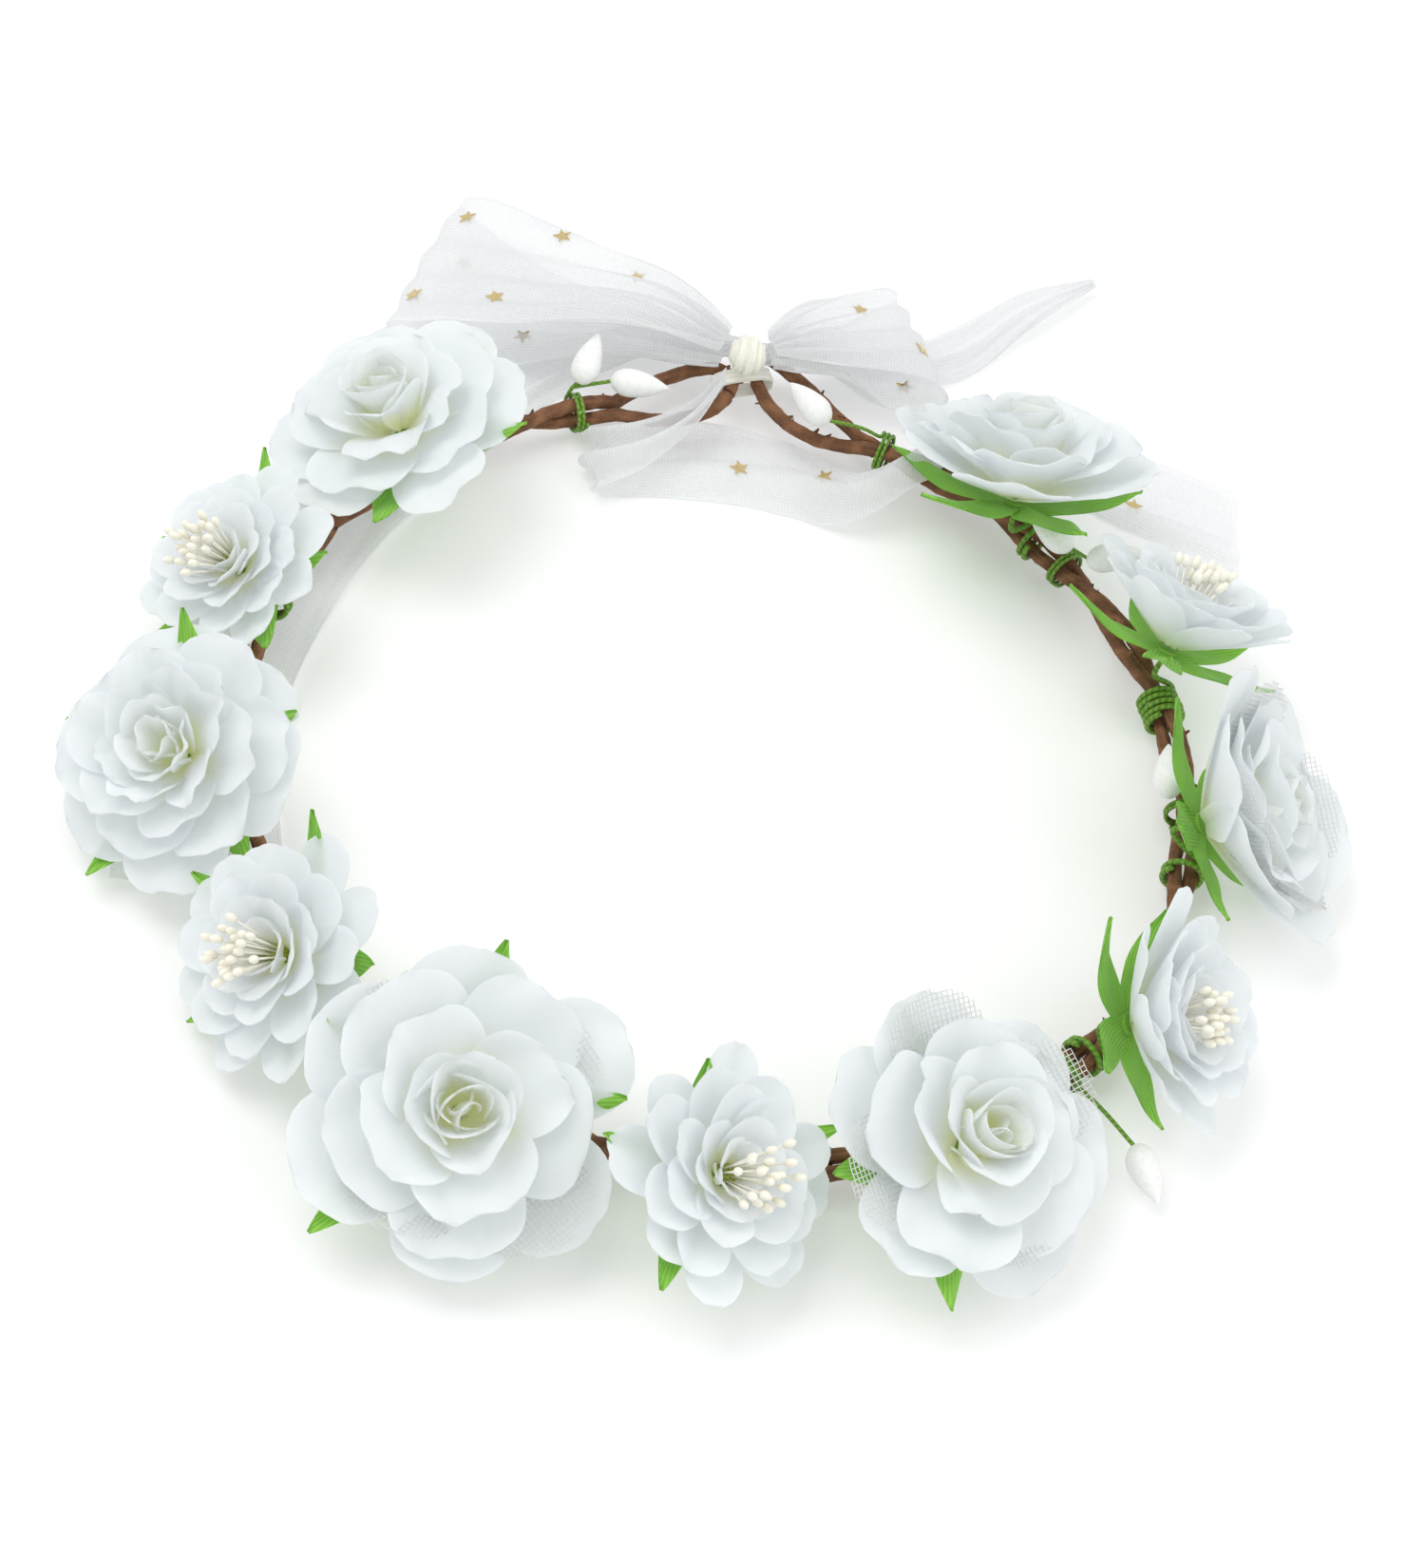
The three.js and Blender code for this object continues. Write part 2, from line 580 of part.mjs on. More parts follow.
function addTails() {
  const over = VINE_HEIGHT + VINE_RADIUS + RIBBON_CLEARANCE; // crosses the vine here
  const flat = RIBBON_THICKNESS; // lies on the surface here

  // Leaves under the right loop and turns on edge towards its pointed end.
  const short = [
    fromKnot(0.6, 0.9, -0.68),
    ringPoint(85.3, 16.9, KNOT.z - 5.6),
    ringPoint(80.9, 21.4, KNOT.z - 9.4),
    ringPoint(75.4, 27.3, 2.4),
    ringPoint(69.8, 38, 3),
    ringPoint(66.3, 57.6, 5),
    ringPoint(63.4, 77.9, 3),
  ];
  const lean = (tangent, t) => flatSide(tangent).applyAxisAngle(tangent, 0.9 * Math.max(0, 2 * t - 1));
  addPart("ribbon_tail_short", stripAlong(short, [5, 6, 8, 11, 11, 8, 2], lean, 24), finishes.organza);

  // Folds back under itself inside the ring, then climbs over the vine and lies down outside.
  const right = [
    fromKnot(-0.82, -0.96, -0.36),
    ringPoint(97.3, -5.8, over - 0.3),
    ringPoint(104.6, -12.4, over - 2.3),
    ringPoint(110.7, -12.9, over - 5.3),
    ringPoint(112.9, -12.2, 4),
    ringPoint(109.6, -11.3, 1.4),
    ringPoint(97, -10.4, 2 * flat),
    ringPoint(82.9, -10.9, 2 * flat),
    ringPoint(72.1, -13.7, over - 5.8),
    ringPoint(65.3, -3.4, over),
    ringPoint(61.2, 11.8, over - 5.3),
    ringPoint(57.1, 22.3, 3),
    ringPoint(48.3, 31.2, 2 * flat),
    ringPoint(37.8, 43.4, flat),
  ];
  const rightWidths = [5, 8, 12, 14, 15, 16, 20, 20, 13, 12, 12, 15, 22, 23];
  const across = new THREE.Vector3(0, -1, 0);
  const rightTail = stripAlong(right, rightWidths, () => across, 52);
  addPart("ribbon_tail_right", rightTail, finishes.organza);

  // Runs down outside the ring and then along under the vine.
  const left = [
    fromKnot(-0.3, 1, -0.6),
    ringPoint(94.7, 18.4, KNOT.z - 7.9),
    ringPoint(100.1, 21.8, 4.5),
    ringPoint(107.5, 21.2, 1.2),
    ringPoint(119, 15.4, flat),
    ringPoint(131.3, 7.9, flat),
    ringPoint(145.5, 5.1, flat),
    ringPoint(161.8, 3.8, flat),
    ringPoint(178.8, 5, flat),
    ringPoint(192.9, 6.5, flat),
    ringPoint(204.3, 10, flat),
  ];
  const leftWidths = [5, 7, 10, 14, 20, 24, 26, 28, 28, 30, 32];
  addPart("ribbon_tail_left", stripAlong(left, leftWidths, flatSide, 40), finishes.organza);
}

addVine();
addFlowers();
addBuds();
addTie();
addKnot();
addBow();
addTails();

export default crown;
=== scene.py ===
"""Looks of a bridal flower crown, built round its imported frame.

The crown is a ring of two twisted, paper-wrapped wires that ends in two teardrop eyes. Eleven
fabric flowers stand round it on green wire stems, foam buds fill the gaps, and an organza
ribbon with gold stars is tied through the eyes. Sizes in the classes are in millimetres in the
crown's own frame; meshes are handed over in metres.
"""

from __future__ import annotations

import logging
import math
from dataclasses import dataclass, field, replace
from enum import Enum
from typing import Callable, ClassVar, Iterable, Sequence

import bpy
import numpy as np
from mathutils import Matrix, Vector

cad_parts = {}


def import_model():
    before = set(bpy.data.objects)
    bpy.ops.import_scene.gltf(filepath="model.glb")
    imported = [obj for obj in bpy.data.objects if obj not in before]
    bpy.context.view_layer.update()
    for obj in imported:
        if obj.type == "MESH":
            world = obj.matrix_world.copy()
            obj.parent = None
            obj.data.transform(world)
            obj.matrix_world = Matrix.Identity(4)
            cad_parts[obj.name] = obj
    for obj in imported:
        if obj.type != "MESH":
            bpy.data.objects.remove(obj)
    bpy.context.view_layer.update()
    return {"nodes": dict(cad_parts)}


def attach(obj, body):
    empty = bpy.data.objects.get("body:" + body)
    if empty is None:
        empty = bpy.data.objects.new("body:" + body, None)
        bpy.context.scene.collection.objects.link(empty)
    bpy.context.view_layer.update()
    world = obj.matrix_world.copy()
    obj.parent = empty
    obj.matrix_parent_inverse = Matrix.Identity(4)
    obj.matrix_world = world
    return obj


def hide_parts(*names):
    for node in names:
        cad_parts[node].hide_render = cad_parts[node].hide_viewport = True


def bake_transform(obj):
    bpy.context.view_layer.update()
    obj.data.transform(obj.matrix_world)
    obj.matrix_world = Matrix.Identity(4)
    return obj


LOG = logging.getLogger("crown")
MM = 0.001
TAU = 2 * math.pi
Socket, Node = bpy.types.NodeSocket, bpy.types.Node
Object, Material = bpy.types.Object, bpy.types.Material
Array = np.ndarray
Color = tuple[float, float, float]


# ---- Node trees ----


class Num:
    """A number socket that takes part in arithmetic; each operation adds a Math node."""

    def __init__(self, tree: "Tree", socket: Socket) -> None:
        """Wraps a socket of the tree."""
        self.tree = tree
        self.socket = socket

    def math(self, operation: str, *others: "Num | float") -> "Num":
        """Adds one Math node.

        Args:
            operation: the Math node's operation.
            others: its second and third operands.

        Returns:
            The node's result.
        """
        node = self.tree.add("ShaderNodeMath", {"operation": operation},
                             dict(enumerate((self, *others))))
        return Num(self.tree, node.outputs[0])

    def __add__(self, other: "Num | float") -> "Num":
        """Returns the sum."""
        return self.math("ADD", other)

    __radd__ = __add__

    def __mul__(self, other: "Num | float") -> "Num":
        """Returns the product."""
        return self.math("MULTIPLY", other)

    __rmul__ = __mul__

    def __sub__(self, other: "Num | float") -> "Num":
        """Returns the difference."""
        return self.math("SUBTRACT", other)

    def __rsub__(self, other: float) -> "Num":
        """Returns another number less this one."""
        return (self * -1.0) + other

    def __truediv__(self, other: "Num | float") -> "Num":
        """Returns the quotient."""
        return self.math("DIVIDE", other)

    def __pow__(self, other: float) -> "Num":
        """Returns the power."""
        return self.math("POWER", other)

    def sin(self) -> "Num":
        """Returns the sine of the number in radians."""
        return self.math("SINE")

    def fract(self) -> "Num":
        """Returns the part after the point."""
        return self.math("FRACT")

    def step(self, low: float, high: float) -> "Num":
        """Returns a smooth rise from 0 at low to 1 at high."""
        node = self.tree.add("ShaderNodeMapRange", {"interpolation_type": "SMOOTHSTEP"},
                             {"Value": self, "From Min": low, "From Max": high})
        return Num(self.tree, node.outputs["Result"])


class Tree:
    """A node tree that is written one node at a time."""

    def __init__(self, tree: bpy.types.NodeTree) -> None:
        """Wraps a shader tree or a geometry tree."""
        self.tree = tree

    def add(self, kind: str, settings: dict | None = None,
            inputs: dict | None = None) -> Node:
        """Adds one node.

        Args:
            kind: the node's type name.
            settings: properties that are set before its inputs.
            inputs: input names or places, each with a value, or the number, socket or
                node to link, which gives its first output.

        Returns:
            The new node.
        """
        node = self.tree.nodes.new(kind)
        for key, value in (settings or {}).items():
            setattr(node, key, value)
        for key, value in (inputs or {}).items():
            socket = node.inputs[key]
            if isinstance(value, Num):
                value = value.socket
            elif isinstance(value, Node):
                value = value.outputs[0]
            if isinstance(value, Socket):
                self.tree.links.new(value, socket)
            else:
                socket.default_value = value
        return node

    def attribute(self, name: str) -> Num:
        """Returns a number that the mesh stores under a name."""
        node = self.add("ShaderNodeAttribute", {"attribute_name": name})
        return Num(self, node.outputs["Fac"])

    def noise(self, scale: float, detail: float = 2.0) -> Num:
        """Returns noise from 0 to 1 with features of 1/scale metres."""
        place = self.add("ShaderNodeTexCoord").outputs["Object"]
        node = self.add("ShaderNodeTexNoise", None,
                        {"Vector": place, "Scale": scale, "Detail": detail})
        return Num(self, node.outputs["Fac"])

    def lumps(self, place: Node, scale: float, detail: float, seed: Num) -> Num:
        """Returns seeded noise from 0 to 1 at places of a geometry."""
        node = self.add("ShaderNodeTexNoise", {"noise_dimensions": "4D"},
                        {"Vector": place, "Scale": scale, "Detail": detail, "W": seed})
        return Num(self, node.outputs[0])

    def stored(self, name: str, kind: str = "FLOAT") -> Num:
        """Returns what a geometry stores under a name."""
        node = self.add("GeometryNodeInputNamedAttribute", {"data_type": kind}, {"Name": name})
        return Num(self, node.outputs["Attribute"])

    def store(self, shape: Node, name: str,
              value: Num | Socket) -> Node:
        """Stores a number on a geometry under a name."""
        return self.add("GeometryNodeStoreNamedAttribute", {"data_type": "FLOAT"},
                        {"Geometry": shape, "Name": name, "Value": value})

    def random(self, low: float, high: float, seed: Socket) -> Num:
        """Returns a random number between two for each point."""
        node = self.add("FunctionNodeRandomValue", {"data_type": "FLOAT"},
                        {2: low, 3: high, "Seed": seed})
        return Num(self, node.outputs[1])

    def vector(self, x: Num | float, y: Num | float, z: Num | float) -> Node:
        """Joins three numbers into a vector."""
        return self.add("ShaderNodeCombineXYZ", None, {0: x, 1: y, 2: z})

    def turned(self, rotation: Socket, angle: Num) -> Node:
        """Turns a rotation about its own Z axis."""
        spin = self.add("FunctionNodeEulerToRotation", None, {0: self.vector(0.0, 0.0, angle)})
        return self.add("FunctionNodeRotateRotation", {"rotation_space": "LOCAL"},
                        {0: rotation, 1: spin})

    def blend(self, amount: Num, low: Color, high: Color) -> Socket:
        """Returns the colour that lies between two by the amount."""
        node = self.add("ShaderNodeMix", {"data_type": "RGBA"},
                        {0: amount, 6: (*low, 1.0), 7: (*high, 1.0)})
        return node.outputs[2]

    def bump(self, height: Num, distance: float, strength: float = 1.0) -> Socket:
        """Returns a normal bent by a height that is distance metres deep."""
        node = self.add("ShaderNodeBump", None,
                        {"Height": height, "Distance": distance, "Strength": strength})
        return node.outputs["Normal"]


# ---- Finishes ----


class Finish:
    """A material made once from its own numbers."""

    name: str
    made: ClassVar[dict[str, Material]] = {}

    def paint(self, tree: Tree) -> Socket:
        """Builds the surface and returns its shader socket."""
        raise NotImplementedError

    def material(self) -> Material:
        """Returns the finish's material, made at the first call."""
        if self.name not in Finish.made:
            made = Finish.made[self.name] = bpy.data.materials.new(self.name)
            made.use_nodes = True
            made.node_tree.nodes.clear()
            tree = Tree(made.node_tree)
            tree.add("ShaderNodeOutputMaterial", None, {"Surface": self.paint(tree)})
        return Finish.made[self.name]


def principled(tree: Tree, inputs: dict) -> Socket:
    """Returns a Principled shader with the given inputs."""
    return tree.add("ShaderNodeBsdfPrincipled", None, inputs).outputs["BSDF"]


def sheer(tree: Tree, shader: Socket, color: Color,
          share: float) -> Socket:
    """Lets a share of the light through a thin cloth's shader."""
    back = tree.add("ShaderNodeBsdfTranslucent", None, {"Color": (*color, 1.0)})
    mix = tree.add("ShaderNodeMixShader", None, {0: share, 1: shader, 2: back})
    return mix.outputs[0]


@dataclass(frozen=True)
class PetalCloth(Finish):
    """Pressed white polyester: a fine weave, soft crinkles, a tint deep in the flower, and a
    painted glow that lifts its shade.
    """

    name: str = "petal_cloth"
    rim: Color = (0.885, 0.905, 0.915)
    depth: Color = (0.90, 0.92, 0.60)
    weave: float = 2200.0
    through: float = 0.46
    # painted glow: emission in the petal's own colour that stands in for light bounced between the
    # petals
    painted_glow: float = 0.11

    def paint(self, tree: Tree) -> Socket:
        """Weaves the cloth, tints its depth, paints a faint glow that lifts its shade, and lets
        light through.
        """
        tint = tree.attribute("tint")
        cloud = tree.noise(90.0)
        color = tree.blend((tint * (cloud * 0.5 + 0.75)).step(0.0, 1.0), self.rim, self.depth)
        across = (tree.attribute("across") * self.weave).sin()
        along = (tree.attribute("along") * self.weave).sin()
        height = across * along * 0.25 + tree.noise(700.0, 3.0) * 0.9
        normal = tree.bump(height, 0.00012, 0.5)
        body = principled(tree, {
            "Base Color": color, "Roughness": tree.noise(400.0) * 0.15 + 0.68, "Normal": normal,
            "Sheen Weight": 0.25, "Sheen Roughness": 0.4, "Specular IOR Level": 0.25,
            # Painted light: the petals glow faintly though they are no lamp, which brightens the
            # shaded hollows of the flower.
            "Emission Color": color, "Emission Strength": self.painted_glow,
        })
        return sheer(tree, body, self.rim, self.through)


@dataclass(frozen=True)
class NetThread(Finish):
    """Thread of the open net petals."""

    name: str = "net_thread"
    color: Color = (0.92, 0.925, 0.92)

    def paint(self, tree: Tree) -> Socket:
        """Gives the thread its fuzz."""
        fuzz = tree.noise(5000.0)
        color = tree.blend(fuzz, tuple(0.9 * c for c in self.color), self.color)
        body = principled(tree, {
            "Base Color": color, "Roughness": 0.7,
            "Normal": tree.bump(fuzz, 0.00005, 0.4),
        })
        return sheer(tree, body, self.color, 0.15)


@dataclass(frozen=True)
class LeafCloth(Finish):
    """Bright green ribbed fabric of the sepals, paler along its ribs."""

    name: str = "leaf_cloth"
    dark: Color = (0.20, 0.50, 0.045)
    light: Color = (0.40, 0.76, 0.13)
    ribs: float = 9000.0

    def paint(self, tree: Tree) -> Socket:
        """Ribs the cloth from dark to light."""
        rib = (tree.attribute("along") * self.ribs).sin() * 0.5 + 0.5
        cloud = tree.noise(160.0, 3.0)
        shade = (rib * 0.45 + cloud * 0.75).step(0.05, 1.05)
        body = principled(tree, {
            "Base Color": tree.blend(shade, self.dark, self.light),
            "Roughness": tree.noise(900.0) * 0.2 + 0.6,
            "Normal": tree.bump(rib + tree.noise(2500.0) * 0.5, 0.00016, 0.7),
            "Sheen Weight": 0.15, "Specular IOR Level": 0.3,
        })
        return sheer(tree, body, self.light, 0.3)


@dataclass(frozen=True)
class WrapPaper(Finish):
    """Dark brown floral paper tape, crinkled: painted highlight on the raised ridges of its turns
    and its raised creases, painted shade in its pushed-in creases, over the paper's own grain.
    """

    name: str = "wrap_paper"
    dark: Color = (0.075, 0.030, 0.014)
    light: Color = (0.31, 0.145, 0.070)

    def paint(self, tree: Tree) -> Socket:
        """Paints the paper lighter on its raised ridges and creases and darker in its hollows, over
        its own grain.
        """
        ridge = tree.attribute("ridge")
        grain = tree.noise(650.0, 5.0)
        fiber = tree.noise(2600.0, 3.0)
        crease = tree.attribute("crease")
        # ridge and crease also lift the surface, so they give painted highlight on raised parts and
        # painted shade in hollows; grain and fiber are the paper's own tone.
        shade = (ridge * 0.3 + crease * 0.8 + grain * 0.45 + fiber * 0.2).step(0.35, 1.2)
        return principled(tree, {
            "Base Color": tree.blend(shade, self.dark, self.light),
            "Roughness": grain * 0.25 + 0.62,
            "Normal": tree.bump(grain + fiber * 0.6, 0.0003, 0.9),
            "Specular IOR Level": 0.3,
        })


@dataclass(frozen=True)
class BindingWire(Finish):
    """Green tape-covered wire."""

    name: str = "binding_wire"
    dark: Color = (0.07, 0.19, 0.012)
    light: Color = (0.22, 0.42, 0.035)

    def paint(self, tree: Tree) -> Socket:
        """Winds the tape in fine turns."""
        turn = (tree.attribute("along") * 5200.0 + tree.attribute("across")).sin() * 0.5 + 0.5
        grain = tree.noise(1500.0, 3.0)
        return principled(tree, {
            "Base Color": tree.blend((turn * 0.35 + grain * 0.8).step(0.2, 1.0),
                                     self.dark, self.light),
            "Roughness": grain * 0.2 + 0.45,
            "Normal": tree.bump(turn + grain, 0.0001, 0.6),
        })


@dataclass(frozen=True)
class Pearl(Finish):
    """Cream stamens with a pearly lacquer."""

    name: str = "pearl"
    color: Color = (0.93, 0.90, 0.78)
    tip: Color = (0.96, 0.945, 0.87)

    def paint(self, tree: Tree) -> Socket:
        """Lacquers the thread and speckles it between its cream and its paler tip colour; the
        stamens carry no tint, so the tip itself is not paled.
        """
        speck = tree.noise(1800.0, 2.0)
        return principled(tree, {
            "Base Color": tree.blend((speck * 0.4 + tree.attribute("tint")).step(0.1, 1.0),
                                     self.color, self.tip),
            "Roughness": speck * 0.15 + 0.3, "Coat Weight": 0.4, "Coat Roughness": 0.2,
            "Normal": tree.bump(speck, 0.00004, 0.4),
        })


@dataclass(frozen=True)
class Organza(Finish):
    """Sheer shimmering ribbon: fine crossed threads with denser woven edges, and a painted glow
    that brightens it.
    """

    name: str = "organza_ribbon"
    color: Color = (0.85, 0.86, 0.87)
    pitch: float = 0.0007
    cover: float = 0.67
    through: float = 0.4
    # painted glow: emission in the ribbon's own colour that stands in for light, so the cloth reads
    # brighter
    painted_glow: float = 0.1

    def paint(self, tree: Tree) -> Socket:
        """Crosses the threads, opens the cloth between them and paints a faint glow on it."""
        warp = (tree.attribute("across") * (TAU / self.pitch)).sin() * 0.5 + 0.5
        weft = (tree.attribute("along") * (TAU / self.pitch)).sin() * 0.5 + 0.5
        cloud = tree.noise(60.0, 3.0)
        slub = tree.noise(900.0, 2.0)
        threads = (warp + weft) * 0.07 + slub * 0.14 + cloud * 0.25
        edge = tree.attribute("edge").step(0.93, 0.965)
        cover = threads + (self.cover - 0.18) + edge * 0.35 + tree.attribute("tint") * 0.3
        body = principled(tree, {
            "Base Color": tree.blend(cloud, tuple(0.96 * c for c in self.color), self.color),
            "Roughness": slub * 0.2 + 0.45, "Sheen Weight": 0.1,
            "Normal": tree.bump(warp + weft + slub, 0.00012, 0.5),
            # Painted light: the ribbon glows faintly in its own colour though it is no lamp.
            "Emission Color": (*self.color, 1.0), "Emission Strength": self.painted_glow,
        })
        cloth = sheer(tree, body, self.color, self.through)
        clear = tree.add("ShaderNodeBsdfTransparent", None, {"Color": (1.0, 1.0, 1.0, 1.0)})
        mix = tree.add("ShaderNodeMixShader", None,
                       {0: cover, 1: clear, 2: cloth})
        return mix.outputs[0]


@dataclass(frozen=True)
class Speckled(Finish):
    """Two shades mixed by one fine noise, which also roughens and dents the surface.

    Attributes:
        dark: the shade where the noise is low.
        light: the shade where it is high.
        scale: the noise's features to a metre.
        detail: its octaves.
        window: where the noise passes from one shade to the other.
        rough: the roughness, and how much the noise adds.
        dent: the bump's depth in metres and its strength.
        others: further inputs of the shader.
    """

    name: str
    dark: Color
    light: Color
    scale: float
    detail: float = 3.0
    window: tuple[float, float] | None = None
    rough: tuple[float, float] = (0.4, 0.2)
    dent: tuple[float, float] = (0.0001, 0.5)
    others: dict = field(default_factory=dict)

    def paint(self, tree: Tree) -> Socket:
        """Mixes the two shades by the noise."""
        grain = tree.noise(self.scale, self.detail)
        even, more = self.rough
        return principled(tree, {
            "Base Color": tree.blend(grain.step(*self.window) if self.window else grain,
                                     self.dark, self.light),
            "Roughness": grain * more + even if more else even,
            "Normal": tree.bump(grain, *self.dent), **self.others,
        })


DRAWN_STEEL = Speckled("drawn_steel", (0.2, 0.21, 0.22), (0.32, 0.33, 0.34), 1200.0, 2.0,
                       rough=(0.3, 0.2), dent=(0.00003, 0.5), others={"Metallic": 1.0})
FLOCKED_PLUG = Speckled("plug", (0.14, 0.24, 0.02), (0.5, 0.55, 0.1), 2200.0,
                        window=(0.3, 0.7), rough=(0.85, 0.0), dent=(0.0004, 1.0))
FOAM = Speckled("foam", (0.84, 0.845, 0.83), (0.93, 0.93, 0.92), 1500.0, window=(0.2, 0.7),
                dent=(0.0002, 0.5),
                others={"Subsurface Weight": 0.15, "Subsurface Radius": (0.002, 0.002, 0.002)})
GOLD_FOIL = Speckled("gold_foil", (0.62, 0.45, 0.17), (0.86, 0.72, 0.4), 1500.0,
                     rough=(0.22, 0.2), others={"Metallic": 0.85})
PALE_FLOOR = Speckled("pale_floor", (0.79, 0.79, 0.79), (0.81, 0.81, 0.81), 300.0, 2.0,
                      rough=(0.9, 0.0), dent=(0.0001, 0.2),
                      others={"Emission Color": (1.0, 1.0, 1.0, 1.0), "Emission Strength": 0.2})
# The knot and the tie each take their own painted glow, an emission that lifts their shade.
KNOT_ORGANZA = Organza("organza_knot", (0.90, 0.89, 0.79), cover=0.78, through=0.03, painted_glow=0.05)
TIE_ORGANZA = Organza("organza_tie", (0.90, 0.89, 0.82), cover=0.78, through=0.1, painted_glow=0.14)


# ---- Meshes ----


def placed(name: str, data: bpy.types.ID) -> Object:
    """Links a new object to the scene.

    Args:
        name: the object's name.
        data: its mesh, lamp or camera.

    Returns:
        The object, at the origin.
    """
    made = bpy.data.objects.new(name, data)
    bpy.context.scene.collection.objects.link(made)
    return made


def hand_over(piece: Object, body: str, slot: str, *nodes: str) -> None:
    """Tells the frame where a piece belongs.

    Args:
        piece: the finished piece.
        body: the body that it rides on.
        slot: its material's slot; not used.
        nodes: the nodes that it stands for.
    """
    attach(piece, body)
    if nodes:
        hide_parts(*nodes)


class Sheets:
    """Collects grids of points, in millimetres, into one mesh with numbers at its points."""

    def __init__(self) -> None:
        """Starts an empty mesh."""
        self.points: list[Array] = []
        self.faces: list[Array] = []
        self.numbers: dict[str, list[Array]] = {}
        self.slots: list[Array] = []
        self.count = 0

    def grid(self, points: Array, numbers: dict[str, Array], closed: bool = False,
             slot: int = 0) -> None:
        """Adds one grid of quads.

        Args:
            points: rows by columns by 3.
            numbers: named values, rows by columns.
            closed: the columns close on themselves.
            slot: the material slot.
        """
        rows, cols = points.shape[:2]
        index = np.arange(rows * cols).reshape(rows, cols) + self.count
        if closed:
            index = np.hstack([index, index[:, :1]])
        quads = np.stack([index[:-1, :-1], index[:-1, 1:], index[1:, 1:], index[1:, :-1]], -1)
        self.faces.append(quads.reshape(-1, 4))
        self.slots.append(np.full(len(self.faces[-1]), slot))
        self.points.append(points.reshape(-1, 3))
        for key in set(self.numbers) | set(numbers):
            value = numbers.get(key, np.zeros((rows, cols)))
            held = self.numbers.setdefault(key, [np.zeros(self.count)] if self.count else [])
            held.append(np.broadcast_to(value, (rows, cols)).reshape(-1))
        self.count += rows * cols

    def slab(self, points: Array, numbers: dict[str, Array], thickness: float,
             slot: int = 0) -> None:
        """Adds a sheet of some thickness: the grid, its back and the rim between them.

        Args:
            points: the sheet's middle, rows by columns by 3.
            numbers: named values, rows by columns.
            thickness: in millimetres.
            slot: the material slot.
        """
        normal = np.cross(np.gradient(points, axis=0), np.gradient(points, axis=1))
        normal /= np.linalg.norm(normal, axis=2, keepdims=True) + 1e-9
        half = normal * thickness / 2

        def loop(front: Array, back: Array) -> Array:
            """Runs along the front, back along the back and to the start."""
            return np.concatenate([front, back[::-1], front[:1]], 0)

        spread = ((key, np.broadcast_to(value, points.shape[:2]))
                  for key, value in numbers.items())
        self.grid(loop(points - half, points + half),
                  {key: loop(value, value) for key, value in spread}, slot=slot)

    def build(self, name: str, finishes: Sequence[Finish]) -> Object:
        """Makes the object in metres and links it to the scene.

        Args:
            name: the object's name.
            finishes: one finish for each slot.

        Returns:
            The object, smooth shaded and at the origin.
        """
        mesh = bpy.data.meshes.new(name)
        points = np.concatenate(self.points) * MM
        faces = np.concatenate(self.faces)
        mesh.from_pydata(points, [], faces.tolist())
        for key, values in self.numbers.items():
            layer = mesh.attributes.new(key, "FLOAT", "POINT")
            layer.data.foreach_set("value", np.concatenate(values).astype(np.float32))
        mesh.polygons.foreach_set("material_index", np.concatenate(self.slots).astype(np.int32))
        mesh.polygons.foreach_set("use_smooth", np.ones(len(faces), bool))
        for finish in finishes:
            mesh.materials.append(finish.material())
        mesh.update()
        return placed(name, mesh)


def unit(vectors: Array) -> Array:
    """Returns the vectors at length one."""
    return vectors / (np.linalg.norm(vectors, axis=-1, keepdims=True) + 1e-12)


def lengths(line: Array) -> Array:
    """Returns the length along a line at each of its points."""
    return np.concatenate([[0], np.cumsum(np.linalg.norm(np.diff(line, axis=0), axis=1))])


def turned(along: Array, across: Array, up: Array, angle: float) -> Array:
    """Returns points that run out from the Z axis in the direction of an angle."""
    c, d = math.cos(angle), math.sin(angle)
    return np.stack([along * c - across * d, along * d + across * c, up], -1)


def smooth_path(points: Sequence[Sequence[float]], steps: int) -> Array:
    """Runs a centripetal Catmull-Rom curve through points.

    Args:
        points: the points that it passes through.
        steps: the number of even steps in its parameter.

    Returns:
        steps + 1 points.
    """
    p = np.asarray(points, float)
    p = np.vstack([2 * p[0] - p[1], p, 2 * p[-1] - p[-2]])
    t = np.linspace(0, len(p) - 3, steps + 1)
    i = np.minimum(t.astype(int), len(p) - 4)
    w = (t - i)[:, None]
    a, b, c, d = p[i], p[i + 1], p[i + 2], p[i + 3]
    da, db, dc = (np.sqrt(np.linalg.norm(y - x, axis=1))[:, None] + 1e-9
                  for x, y in ((a, b), (b, c), (c, d)))
    out = ((b - a) / da - (c - a) / (da + db) + (c - b) / db) * db
    back = ((c - b) / db - (d - b) / (db + dc) + (d - c) / dc) * db
    return (b + out * w + (3 * (c - b) - 2 * out - back) * w**2
            + (2 * (b - c) + out + back) * w**3)


